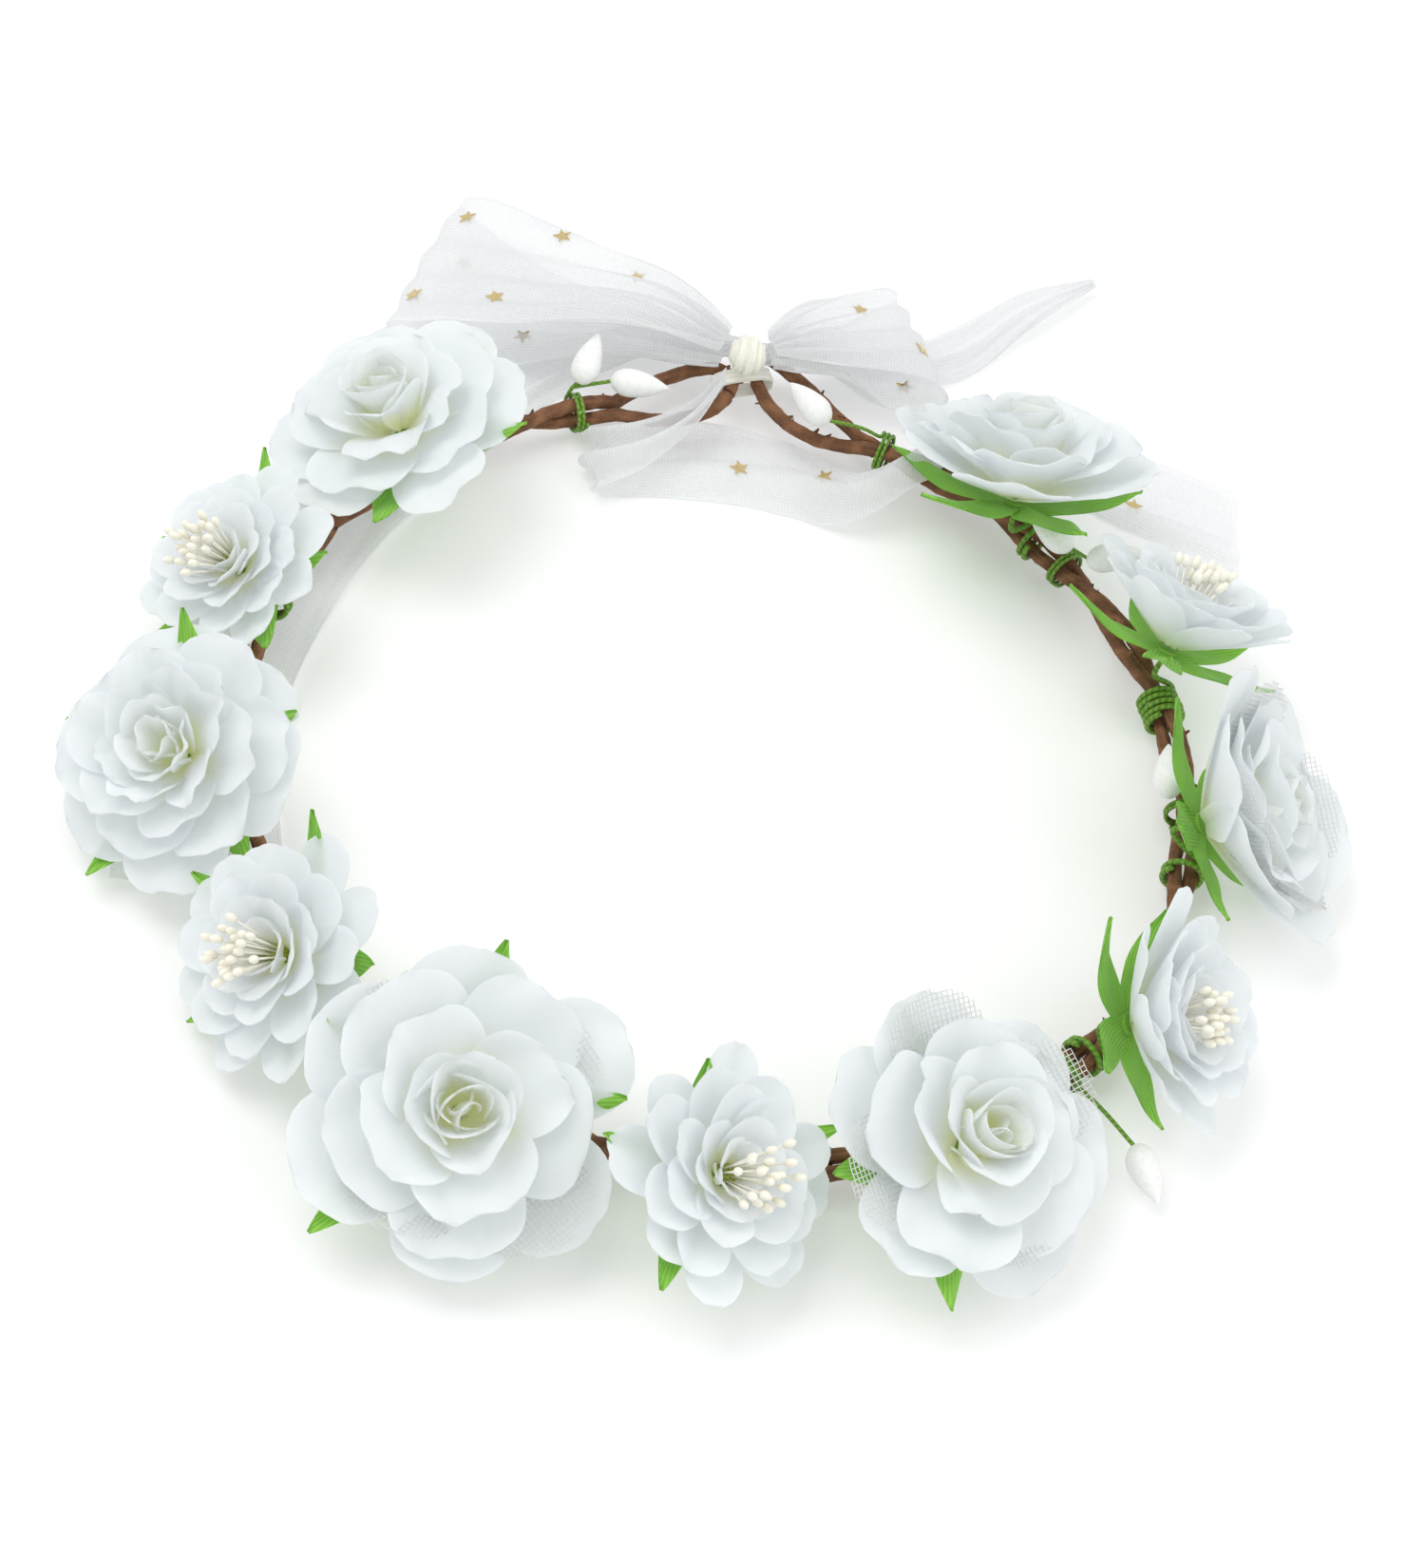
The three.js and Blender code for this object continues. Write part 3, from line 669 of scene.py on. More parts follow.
def tube(sheets: Sheets, path: Array, radius: Array | float, sides: int, slot: int = 0) -> None:
    """Adds a round wire along a path, closed at both ends.

    Args:
        sheets: the mesh that it goes into.
        path: its centreline.
        radius: one radius, or one for each point.
        sides: the number of its sides.
        slot: the material slot.
    """
    tangent = unit(np.gradient(path, axis=0))
    side = np.cross(tangent[0], (0.3, 0.2, 0.93))
    sides_at = []
    for direction in tangent:
        side = side - direction * np.dot(side, direction)
        side = side / np.linalg.norm(side)
        sides_at.append(side)
    u = np.array(sides_at)
    v = np.cross(tangent, u)
    size = np.broadcast_to(radius, (len(path),)).copy()
    ends = np.concatenate([[0], np.arange(len(path)), [len(path) - 1]])
    size = np.concatenate([[1e-4], size, [1e-4]])
    angle = np.linspace(0, TAU, sides, endpoint=False)
    ring = (u[ends][:, None] * np.cos(angle)[None, :, None]
            + v[ends][:, None] * np.sin(angle)[None, :, None])
    points = path[ends][:, None] + ring * size[:, None, None]
    numbers = {"along": (lengths(path)[ends] * MM)[:, None] * np.ones(sides),
               "across": np.ones((len(ends), 1)) * angle}
    sheets.grid(points, numbers, closed=True, slot=slot)


# ---- Geometry node programs ----


class Program:
    """A geometry node tree with named inputs, run once on a mesh and then removed."""

    name = "program"
    inputs: dict[str, tuple[str, float]] = {}

    def write(self, tree: Tree, start: Node) -> Node:
        """Builds the tree from its group input and returns the node with the geometry."""
        raise NotImplementedError

    def group(self) -> bpy.types.NodeTree:
        """Returns the node group, made at the first call."""
        made = bpy.data.node_groups.get(self.name)
        if made is not None:
            return made
        made = bpy.data.node_groups.new(self.name, "GeometryNodeTree")
        face = made.interface
        face.new_socket("Geometry", in_out="INPUT", socket_type="NodeSocketGeometry")
        for key, (kind, default) in self.inputs.items():
            face.new_socket(key, in_out="INPUT", socket_type=kind).default_value = default
        face.new_socket("Material", in_out="INPUT", socket_type="NodeSocketMaterial")
        face.new_socket("Geometry", in_out="OUTPUT", socket_type="NodeSocketGeometry")
        tree = Tree(made)
        start = tree.add("NodeGroupInput")
        shape = self.write(tree, start)
        real = tree.add("GeometryNodeRealizeInstances", None, {"Geometry": shape})
        done = tree.add("GeometryNodeSetMaterial", None,
                        {"Geometry": real, "Material": start.outputs["Material"]})
        tree.add("NodeGroupOutput", None, {"Geometry": done})
        return made

    def run(self, piece: Object, finish: Finish, **values: float) -> Object:
        """Replaces a piece's mesh with what the program makes of it.

        Args:
            piece: the object with the starting mesh.
            finish: the finish of the new mesh.
            values: inputs by name, with _ for spaces.

        Returns:
            The same object with a plain mesh and no modifier.
        """
        modifier = piece.modifiers.new(self.name, "NODES")
        modifier.node_group = self.group()
        given = {key.replace("_", " "): value for key, value in values.items()}
        for item in modifier.node_group.interface.items_tree:
            if item.in_out == "INPUT" and item.name in given:
                modifier[item.identifier] = given[item.name]
            if item.in_out == "INPUT" and item.name == "Material":
                modifier[item.identifier] = finish.material()
        bpy.context.view_layer.update()
        seen = bpy.context.evaluated_depsgraph_get()
        mesh = bpy.data.meshes.new_from_object(piece.evaluated_get(seen), depsgraph=seen)
        piece.modifiers.remove(modifier)
        piece.data = mesh
        return piece


class WrapProgram(Program):
    """Turns a centreline into a wire wound with crinkled paper tape."""

    name = "paper_wrap"
    inputs = {"Radius": ("NodeSocketFloat", 0.0015), "Tape Pitch": ("NodeSocketFloat", 0.006),
              "Ridge": ("NodeSocketFloat", 0.00018), "Crumple": ("NodeSocketFloat", 0.0003),
              "Seed": ("NodeSocketFloat", 0.0)}

    def write(self, tree: Tree, start: Node) -> Node:
        """Sweeps the tape's skin along the wire, then lifts its ridges and creases."""
        given = {key: Num(tree, start.outputs[key]) for key in self.inputs}
        line = tree.add("GeometryNodeMeshToCurve", None, {"Mesh": start})
        even = tree.add("GeometryNodeResampleCurve", {"mode": "LENGTH"},
                        {"Curve": line, "Length": 0.0007})
        walk = tree.add("GeometryNodeSplineParameter")
        keep = tree.store(even, "along", walk.outputs["Length"])
        ring = tree.add("GeometryNodeCurvePrimitiveCircle", None,
                        {"Resolution": 18, "Radius": given["Radius"]})
        turn = tree.add("GeometryNodeSplineParameter")
        mark = tree.store(ring, "turn", turn.outputs["Factor"])
        skin = tree.add("GeometryNodeCurveToMesh", None,
                        {"Curve": keep, "Profile Curve": mark, "Fill Caps": True})
        along, turn = tree.stored("along"), tree.stored("turn")
        phase = along / given["Tape Pitch"] + turn
        ridge = ((phase.fract() - 0.5).math("ABSOLUTE") * 2.0) ** 3.0
        place = tree.add("GeometryNodeInputPosition")
        lump = tree.lumps(place, 420.0, 3.0, given["Seed"]) - 0.5
        girth = turn * TAU
        fold = tree.vector(girth.sin() * 1.9, (girth + math.pi / 2).sin() * 1.9, along * 110.0)
        crease = tree.lumps(fold, 1.0, 2.0, given["Seed"])
        rise = ridge * given["Ridge"] + ((crease - 0.5) * 2.4 + lump) * given["Crumple"]
        out = tree.add("ShaderNodeVectorMath", {"operation": "SCALE"},
                       {0: tree.add("GeometryNodeInputNormal"), "Scale": rise})
        moved = tree.add("GeometryNodeSetPosition", None, {"Geometry": skin, "Offset": out})
        # ridge and crease are kept for the paper's painted highlight and painted shade.
        told = tree.store(tree.store(moved, "ridge", ridge), "crease", crease)
        return tree.add("GeometryNodeSetShadeSmooth", None, {"Geometry": told})


class FrayProgram(Program):
    """Sets loose curled flakes of paper on a wire's wrap."""

    name = "paper_frays"
    inputs = {"Density": ("NodeSocketFloat", 9000.0), "Length": ("NodeSocketFloat", 0.0022),
              "Seed": ("NodeSocketInt", 1)}

    def write(self, tree: Tree, start: Node) -> Node:
        """Bends one flake and sets it on random spots."""
        seed = start.outputs["Seed"]
        spots = tree.add("GeometryNodeDistributePointsOnFaces", None,
                         {"Mesh": start, "Density": start.outputs["Density"], "Seed": seed})
        flake = tree.add("GeometryNodeMeshGrid", None,
                         {"Size X": 0.65, "Size Y": 1.0, "Vertices X": 2, "Vertices Y": 5})
        place = tree.add("ShaderNodeSeparateXYZ", None,
                         {0: tree.add("GeometryNodeInputPosition")})
        run = Num(tree, place.outputs[1]) + 0.5
        slim = Num(tree, place.outputs[0]) * (1.0 - run * 0.55)
        bent = tree.vector(slim, run, run * run * 0.35 - 0.02)
        curl = tree.add("GeometryNodeSetPosition", None, {"Geometry": flake, "Position": bent})
        scale = tree.random(0.4, 1.3, seed) * Num(tree, start.outputs["Length"])
        spin = tree.turned(spots.outputs["Rotation"], tree.random(-0.9, 0.9, seed))
        return tree.add("GeometryNodeInstanceOnPoints", None,
                        {"Points": spots, "Instance": curl, "Rotation": spin, "Scale": scale})


class NetProgram(Program):
    """Turns each edge of a mesh into a thread."""

    name = "net_lattice"
    inputs = {"Thread": ("NodeSocketFloat", 0.00009)}

    def write(self, tree: Tree, start: Node) -> Node:
        """Sweeps a thin thread along every edge."""
        lines = tree.add("GeometryNodeMeshToCurve", None, {"Mesh": start})
        ring = tree.add("GeometryNodeCurvePrimitiveCircle", None,
                        {"Resolution": 3, "Radius": start.outputs["Thread"]})
        return tree.add("GeometryNodeCurveToMesh", None, {"Curve": lines, "Profile Curve": ring})


class StamenProgram(Program):
    """Stands a filament with a lacquered tip on each point, along the point's aim."""

    name = "stamens"
    inputs = {"Filament": ("NodeSocketFloat", 0.00016), "Tip": ("NodeSocketFloat", 0.00062),
              "Stretch": ("NodeSocketFloat", 1.7)}

    def write(self, tree: Tree, start: Node) -> Node:
        """Stands rods on the points and tips on their ends."""
        aim = tree.stored("aim", "FLOAT_VECTOR")
        length = tree.add("ShaderNodeVectorMath", {"operation": "LENGTH"}, {0: aim})
        pointing = tree.add("FunctionNodeAlignRotationToVector", {"axis": "Z"}, {"Vector": aim})
        rod = tree.add("GeometryNodeMeshCylinder", None,
                       {"Vertices": 5, "Radius": start.outputs["Filament"], "Depth": 1.0})
        lifted = tree.add("GeometryNodeTransform", None,
                          {"Geometry": rod, "Translation": (0.0, 0.0, 0.5)})
        tall = tree.vector(1.0, 1.0, Num(tree, length.outputs["Value"]))
        rods = tree.add("GeometryNodeInstanceOnPoints", None,
                        {"Points": start, "Instance": lifted, "Rotation": pointing,
                         "Scale": tall})
        ball = tree.add("GeometryNodeMeshUVSphere", None,
                        {"Segments": 8, "Rings": 6, "Radius": start.outputs["Tip"]})
        oval = tree.vector(1.0, 1.0, Num(tree, start.outputs["Stretch"]))
        shaped = tree.add("GeometryNodeTransform", None, {"Geometry": ball, "Scale": oval})
        ends = tree.add("GeometryNodeSetPosition", None, {"Geometry": start, "Offset": aim})
        tips = tree.add("GeometryNodeInstanceOnPoints", None,
                        {"Points": ends, "Instance": shaped, "Rotation": pointing})
        both = tree.add("GeometryNodeJoinGeometry", None, {0: rods})
        tree.tree.links.new(tips.outputs[0], both.inputs[0])
        return tree.add("GeometryNodeSetShadeSmooth", None, {"Geometry": both})


class StarProgram(Program):
    """Lays a small foil star on each point, facing along the point's aim."""

    name = "foil_stars"
    inputs = {"Size": ("NodeSocketFloat", 0.0021), "Seed": ("NodeSocketInt", 3)}

    def write(self, tree: Tree, start: Node) -> Node:
        """Cuts one star and lays it on every point."""
        star = tree.add("GeometryNodeCurveStar", None,
                        {"Points": 5, "Inner Radius": 0.45, "Outer Radius": 1.0})
        flat = tree.add("GeometryNodeFillCurve", None, {"Curve": star})
        thick = tree.add("GeometryNodeExtrudeMesh", None, {"Mesh": flat, "Offset Scale": 0.12})
        facing = tree.add("FunctionNodeAlignRotationToVector", {"axis": "Z"},
                          {"Vector": tree.stored("aim", "FLOAT_VECTOR")})
        spin = tree.turned(facing, tree.random(0.0, TAU, start.outputs["Seed"]))
        return tree.add("GeometryNodeInstanceOnPoints", None,
                        {"Points": start, "Instance": thick, "Rotation": spin,
                         "Scale": start.outputs["Size"]})


def marks(name: str, points: Array, aims: Array) -> Object:
    """Makes a mesh of bare points, in millimetres, that carry an aim."""
    mesh = bpy.data.meshes.new(name)
    mesh.from_pydata(np.asarray(points, float) * MM, [], [])
    layer = mesh.attributes.new("aim", "FLOAT_VECTOR", "POINT")
    layer.data.foreach_set("vector", np.asarray(aims, np.float32).reshape(-1))
    return placed(name, mesh)


# ---- The ring ----


@dataclass(frozen=True)
class Eye:
    """One teardrop end of the ring.

    Attributes:
        at: the angle in degrees where the wires part.
        heading: 1 where it runs on with the angle, -1 where it runs back.
        out: how far its tip bends outward in millimetres.
    """

    at: float
    heading: int
    out: float


@dataclass(frozen=True)
class Ring:
    """The ring's centreline and its two wires."""

    radius: float = 92.0
    height: float = 6.05
    paper: float = 1.5
    twist: float = 1.65
    turns: int = 10
    eye_length: float = 26.0
    eye_half_width: float = 5.6
    eye_rise: float = 1.5
    belly: float = 1.3
    coil: float = 4.45
    left: Eye = Eye(107.0, -1, 4.5)
    right: Eye = Eye(435.0, 1, 11.0)

    def point(self, at: float, out: float, z: float) -> Array:
        """Returns a place at an angle round the ring, out from its line, at a height."""
        a = math.radians(at)
        reach = self.radius + out
        return np.array([reach * math.cos(a), reach * math.sin(a), z])

    def beside(self, at: float, distance: float, turn: float) -> Array:
        """Returns a point beside the centreline; turn goes from outward to upward."""
        return self.point(at, distance * math.cos(turn), self.height + distance * math.sin(turn))

    def inside_eye(self, eye: Eye, along: float, across: float) -> Array:
        """Returns a point of an eye: along from the twist to the tip, across from its middle."""
        a = math.radians(eye.at)
        outward = np.array([math.cos(a), math.sin(a), 0.0])
        onward = np.array([-math.sin(a), math.cos(a), 0.0]) * eye.heading
        return (self.beside(eye.at, 0, 0) + onward * self.eye_length * along
                + outward * (eye.out * along * along + across)
                + np.array([0, 0, self.eye_rise * along]))

    def eye_point(self, eye: Eye, sweep: float, side: int) -> Array:
        """Returns a point of the wire round an eye; sweep is PI at the tip."""
        along = (1 - math.cos(sweep)) / 2
        belly = self.belly * self.eye_half_width * math.sin(sweep) * math.sin(sweep / 2)
        return self.inside_eye(eye, along, side * (self.twist * (1 - along) + belly))

    def strand(self, side: int) -> Array:
        """Returns the centreline of one whole wire, from tip to tip."""
        reach = math.pi + 0.5 if side > 0 else math.pi - 0.58
        phase = 0.0 if side > 0 else math.pi
        sweeps = np.linspace(reach, 0, 22)
        points = [self.eye_point(self.left, s, side) for s in sweeps[:-1]]
        for part in np.linspace(0, 1, 280):
            at = self.left.at + part * (self.right.at - self.left.at)
            points.append(self.beside(at, self.twist, phase + TAU * self.turns * part))
        points += [self.eye_point(self.right, s, side) for s in sweeps[::-1][1:]]
        return np.array(points)


RING = Ring()


@dataclass
class Vine:
    """Two paper-wrapped wires twisted together, with loose flakes of paper."""

    ring: Ring = RING
    tape_pitch: float = 7.0
    crumple: float = 0.42
    flakes_per_cm2: float = 2.0
    flake_length: float = 1.5
    ridge_room: float = 0.12

    def build(self) -> None:
        """Makes both wraps and their flakes."""
        for number, (label, side) in enumerate((("outer", 1), ("inner", -1))):
            path = self.ring.strand(side)
            wrap = self.wire(f"paper_wrap_{label}", path)
            WrapProgram().run(wrap, WrapPaper(), Radius=(self.ring.paper - self.ridge_room) * MM,
                              Tape_Pitch=self.tape_pitch * MM, Crumple=self.crumple * MM,
                              Seed=3.7 * number)
            flakes = placed(f"paper_flakes_{label}", wrap.data.copy())
            FrayProgram().run(flakes, WrapPaper(), Density=self.flakes_per_cm2 * 1e4,
                              Length=self.flake_length * MM, Seed=11 + number)
            hand_over(wrap, "root", "vine_paper", f"vine_wrap_{label}")
            hand_over(flakes, "root", "vine_paper")
            LOG.info("vine strand %s: %d faces", label, len(wrap.data.polygons))

    @staticmethod
    def wire(name: str, path: Array) -> Object:
        """Makes a mesh of one open line."""
        mesh = bpy.data.meshes.new(name)
        edges = [(i, i + 1) for i in range(len(path) - 1)]
        mesh.from_pydata(path * MM, edges, [])
        return placed(name, mesh)


# ---- Flowers ----


@dataclass(frozen=True)
class Layer:
    """One layer of petals.

    Attributes:
        count: the number of petals.
        turn: the first petal's angle in degrees.
        root: how far out and up a petal starts in millimetres.
        length: a petal's length as a share of the flower's spread.
        width: half its width as a share of the spread.
        rise: its slope at the root in degrees.
        fall: its slope at the tip.
        wrap: the radius that it curls round as a share of the spread.
        ruffle: the height of its waves in millimetres.
        roll: how far its rim rolls back.
        swirl: how far it twists in degrees.
        tint: how strongly it takes the colour of the depth.
        net: whether it is open net.
    """

    count: int
    turn: float
    root: tuple[float, float]
    length: float
    width: float
    rise: float
    fall: float
    wrap: float
    ruffle: float = 0.8
    roll: float = 0.8
    swirl: float = 8.0
    tint: float = 0.0
    net: bool = False


class Petal:
    """The shape of one petal: a centreline that bends, and a width that wraps and ruffles."""

    samples = 65
    broadest = 0.66

    def __init__(self, layer: Layer, spread: float, index: int,
                 rng: np.random.Generator) -> None:
        """Draws the petal's own sizes and works out its centreline.

        Args:
            layer: the layer that it belongs to.
            spread: the flower's spread in millimetres.
            index: its place in the layer.
            rng: the flower's random numbers.
        """
        self.layer = layer
        step = TAU / layer.count
        self.angle = math.radians(layer.turn) + step * (index + rng.uniform(-0.16, 0.16))
        self.length = spread * layer.length * rng.uniform(0.9, 1.06)
        self.width = spread * layer.width * rng.uniform(0.9, 1.1)
        self.wrap = spread * layer.wrap
        self.swirl = math.radians(layer.swirl + rng.uniform(-6, 6))
        self.phases = rng.uniform(0, TAU, 5)
        rise = math.radians(layer.rise + rng.uniform(-4, 4))
        fall = math.radians(layer.fall + rng.uniform(-7, 7))
        self.table_u = np.linspace(0, 1, self.samples)
        self.slope = rise + (fall - rise) * self.table_u**1.4
        part = self.length / (self.samples - 1)
        self.radial, self.height = (
            start + np.concatenate([[0], np.cumsum(way(self.slope[:-1]) * part)])
            for start, way in zip(layer.root, (np.cos, np.sin)))

    def half_width(self, u: Array) -> Array:
        """Returns half the petal's width at shares of its length."""
        broad = self.broadest
        below = 0.3 + 0.7 * np.sin(np.clip(u / broad, 0, 1) * math.pi / 2) ** 1.1
        above = np.sqrt(np.clip(1 - 0.97 * (np.clip(u - broad, 0, 1) / (1 - broad)) ** 2.5, 0, 1))
        return self.width * np.where(u < broad, below, above)

    def place(self, u: Array, s: Array) -> Array:
        """Returns points in the flower's own frame.

        Args:
            u: shares of the petal's length.
            s: millimetres across it.

        Returns:
            A point for each pair of them.
        """
        layer = self.layer
        radial, height, slope = (np.interp(u, self.table_u, table)
                                 for table in (self.radial, self.height, self.slope))
        v = s / (self.width + 1e-6)
        bend = s / self.wrap
        across = self.wrap * np.sin(bend)
        inward = self.wrap * (1 - np.cos(bend)) + s * math.sin(self.swirl) * u
        p = self.phases
        waves = (np.sin(4.2 * v + p[0]) * 0.6 + np.sin(7.3 * v + 2.0 * u + p[1]) * 0.35
                 + np.sin(5.0 * u + 2.5 * v + p[2]) * 0.35)
        rim = np.clip(u**5 + np.abs(v) ** 4 * u, 0, 1.3)
        inward = inward + layer.ruffle * waves * (0.2 + u**2) - layer.roll * rim
        inward = inward + 0.25 * np.exp(-((v / 0.16) ** 2)) * (1 - u)
        notch = np.exp(-(((v - 0.1 * math.sin(p[3])) / 0.16) ** 2)) * 0.012 * u**6 * self.length
        radial = radial - notch * np.cos(slope) - np.sin(slope) * inward
        height = height - notch * np.sin(slope) + np.cos(slope) * inward
        return turned(radial, across, height, self.angle)


ROSE_LAYERS = (
    Layer(6, 0, (2.0, 4.2), 1.14, 0.47, 6, 24, 1.5, 1.0, 1.3, 4),
    Layer(4, 25, (2.0, 4.9), 1.04, 0.44, 13, 28, 1.4, 0.5, 0.6, 3, net=True),
    Layer(5, 32, (2.0, 5.8), 0.93, 0.50, 19, 30, 0.95, 1.3, 1.8, 6, tint=0.05),
    Layer(4, 0, (2.0, 6.8), 0.76, 0.47, 40, 44, 0.52, 1.7, 2.6, 14, tint=0.15),
    Layer(3, 45, (1.6, 7.6), 0.68, 0.43, 64, 66, 0.36, 0.7, 1.9, 16, tint=0.3),
    Layer(3, 105, (1.4, 8.0), 0.66, 0.36, 66, 86, 0.26, 0.3, 0.7, 20, tint=0.55),
    Layer(2, 30, (1.0, 8.2), 0.62, 0.30, 74, 92, 0.16, 0.2, 0.4, 22, tint=0.85),
    Layer(2, 100, (0.7, 9.0), 0.54, 0.22, 82, 112, 0.10, 0.15, 0.3, 18, tint=0.9),
)
PEONY_LAYERS = (
    Layer(6, 0, (2.0, 4.3), 1.08, 0.48, 8, 26, 1.8, 1.3, 1.4, 6),
    Layer(6, 30, (2.0, 5.2), 1.0, 0.44, 20, 34, 1.0, 1.3, 1.2, 8, tint=0.05),
    Layer(6, 8, (1.8, 6.2), 0.92, 0.38, 36, 46, 0.7, 1.3, 1.0, 10, tint=0.1),
    Layer(6, 40, (1.5, 7.0), 0.84, 0.32, 52, 60, 0.5, 1.1, 0.9, 10, tint=0.2),
    Layer(5, 15, (1.0, 7.6), 0.76, 0.26, 68, 72, 0.36, 0.9, 0.7, 10, tint=0.4),
    Layer(5, 60, (0.6, 8.0), 0.68, 0.20, 80, 82, 0.22, 0.6, 0.5, 10, tint=0.7),
)
BLOSSOM_LAYERS = (
    Layer(8, 0, (1.5, 4.2), 1.08, 0.30, 6, 26, 0.6, 0.45, 0.5, 4),
    Layer(8, 22, (1.5, 5.0), 0.96, 0.30, 20, 34, 0.5, 0.45, 0.6, 4),
    Layer(7, 8, (1.5, 5.8), 0.80, 0.30, 36, 44, 0.42, 0.45, 0.6, 5, tint=0.06),
    Layer(6, 34, (1.3, 6.6), 0.62, 0.28, 50, 52, 0.36, 0.4, 0.6, 6, tint=0.14),
    Layer(4, 0, (1.0, 7.4), 0.46, 0.24, 66, 64, 0.28, 0.35, 0.5, 6, tint=0.3),
)


class Kind(Enum):
    """What a flower's petals are like, and whether net petals show between them."""

    ROSE = "rose"
    NET_ROSE = "net rose"
    PEONY = "peony"
    BLOSSOM = "blossom"


@dataclass
class Flower:
    """One fabric flower that tilts on its stem: petals, calyx and stem.

    Attributes:
        name: the flower's body.
        kind: what its petals are like.
        at: its angle round the ring in degrees.
        out: its base outward of the ring's line in millimetres.
        rise: its base above the ring's line.
        facing: the level direction that it faces in degrees.
        lift: how far it faces up from level.
        spin: its turn about its own axis.
        spread: its petals' reach from the axis in millimetres.
        seed: its random seed.
        coil_turns: the turns of its wire round the vine.
        sepal_reach: its sepals' length as a share of the spread.
        close: how far its outer petals are cupped in degrees.
        deep: a factor on its petals' size.
        petal_cloth: the thickness of its petals in millimetres.
        sepal_cloth: the thickness of its sepals.
        sepals: the number of its sepals.
        sepal_width: half a sepal's width as a share of the spread.
        net_pitch: the distance between threads of its net petals.
        stamen_count: the stamens of a blossom.
        wire: the radius of its green wire.
    """

    name: str
    kind: Kind
    at: float
    out: float
    rise: float
    facing: float
    lift: float
    spin: float
    spread: float
    seed: int = 0
    coil_turns: float = 1.75
    sepal_reach: float = 1.16
    close: float = 0.0
    deep: float = 1.0
    petal_cloth: float = 0.22
    sepal_cloth: float = 0.3
    sepals: int = 5
    sepal_width: float = 0.215
    net_pitch: float = 0.95
    stamen_count: int = 22
    wire: float = 0.58

    def __post_init__(self) -> None:
        """Works out where the flower sits and how it is turned."""
        facing, lift = math.radians(self.facing), math.radians(self.lift)
        self.base = RING.point(self.at, self.out, RING.height + self.rise)
        self.axis = np.array([math.cos(lift) * math.cos(facing),
                              math.cos(lift) * math.sin(facing), math.sin(lift)])
        turn = Vector((0, 0, 1)).rotation_difference(Vector(self.axis))
        spin = Matrix.Rotation(math.radians(self.spin), 3, "Z")
        self.turn = np.array(turn.to_matrix() @ spin)
        self.rng = np.random.default_rng(self.seed)

    def world(self, local: Array) -> Array:
        """Takes points from the flower's own frame to the crown's."""
        return local @ self.turn.T + self.base

    def layers(self) -> Iterable[Layer]:
        """Returns the layers that this kind of flower has."""
        if self.kind is Kind.BLOSSOM:
            return BLOSSOM_LAYERS
        if self.kind is Kind.PEONY:
            return PEONY_LAYERS
        return [one for one in ROSE_LAYERS if self.kind is Kind.NET_ROSE or not one.net]

    def build(self) -> None:
        """Makes the flower's pieces."""
        cloth = Sheets()
        nets: list[Petal] = []
        for layer in self.layers():
            cup = self.close * max(0.0, 1.0 - layer.rise / 85)
            layer = replace(layer, rise=layer.rise + cup, fall=layer.fall + cup)
            for index in range(layer.count):
                petal = Petal(layer, self.spread * self.deep, index, self.rng)
                if layer.net:
                    nets.append(petal)
                else:
                    self.add_petal(cloth, petal)
        petals = cloth.build(f"{self.name}_petal_cloth", [PetalCloth()])
        heart = [] if self.kind is Kind.BLOSSOM else [f"{self.name}_heart"]
        hand_over(petals, self.name, "petal_fabric", f"{self.name}_petals", *heart)
        if nets:
            self.build_nets(nets)
        if self.kind is Kind.BLOSSOM:
            self.build_stamens()
        self.build_calyx()
        self.build_stem()
        LOG.info("%s: %d petal faces", self.name, len(petals.data.polygons))

    def add_petal(self, cloth: Sheets, petal: Petal) -> None:
        """Adds one petal of thin cloth."""
        rows, cols = 15, 13
        u = np.linspace(0, 1, rows) ** 0.9
        u = np.concatenate([u[:-1], [0.985, 1.0]])[:, None] * np.ones(cols)
        v = np.sin(np.linspace(-math.pi / 2, math.pi / 2, cols))[None, :]
        s = petal.half_width(u) * v
        local = petal.place(u, s)
        deep = np.clip(1.0 - u * 1.7, 0, 1) * 0.7 + petal.layer.tint * np.clip(1.2 - u, 0, 1)
        cloth.slab(self.world(local), {"tint": deep, "across": s * MM,
                                       "along": u * petal.length * MM}, self.petal_cloth)

    def build_nets(self, nets: list[Petal]) -> None:
        """Makes the open net petals as one lattice of threads."""
        points: list[Array] = []
        edges: list[tuple[int, int]] = []
        count, pitch = 0, self.net_pitch
        for petal in nets:
            rows = int(petal.length / pitch)
            cols = int(2 * petal.width / pitch) + 1
            u = (np.arange(rows + 1) / rows)[:, None] * np.ones(cols)
            s = np.ones((rows + 1, 1)) * ((np.arange(cols) - (cols - 1) / 2) * pitch)[None, :]
            inside = (np.abs(s) <= petal.half_width(u) + 0.3) & (u > 0.25)
            place = self.world(petal.place(u, s))
            index = np.full(inside.shape, -1)
            index[inside] = np.arange(inside.sum()) + count
            count += int(inside.sum())
            points.append(place[inside])
            for a, b in ((index[:-1], index[1:]), (index[:, :-1], index[:, 1:])):
                both = (a >= 0) & (b >= 0)
                edges += list(zip(a[both].tolist(), b[both].tolist()))
        mesh = bpy.data.meshes.new(f"{self.name}_net")
        mesh.from_pydata(np.concatenate(points) * MM, edges, [])
        net = placed(f"{self.name}_net", mesh)
        NetProgram().run(net, NetThread(), Thread=0.1 * MM)
        hand_over(net, self.name, "petal_fabric")

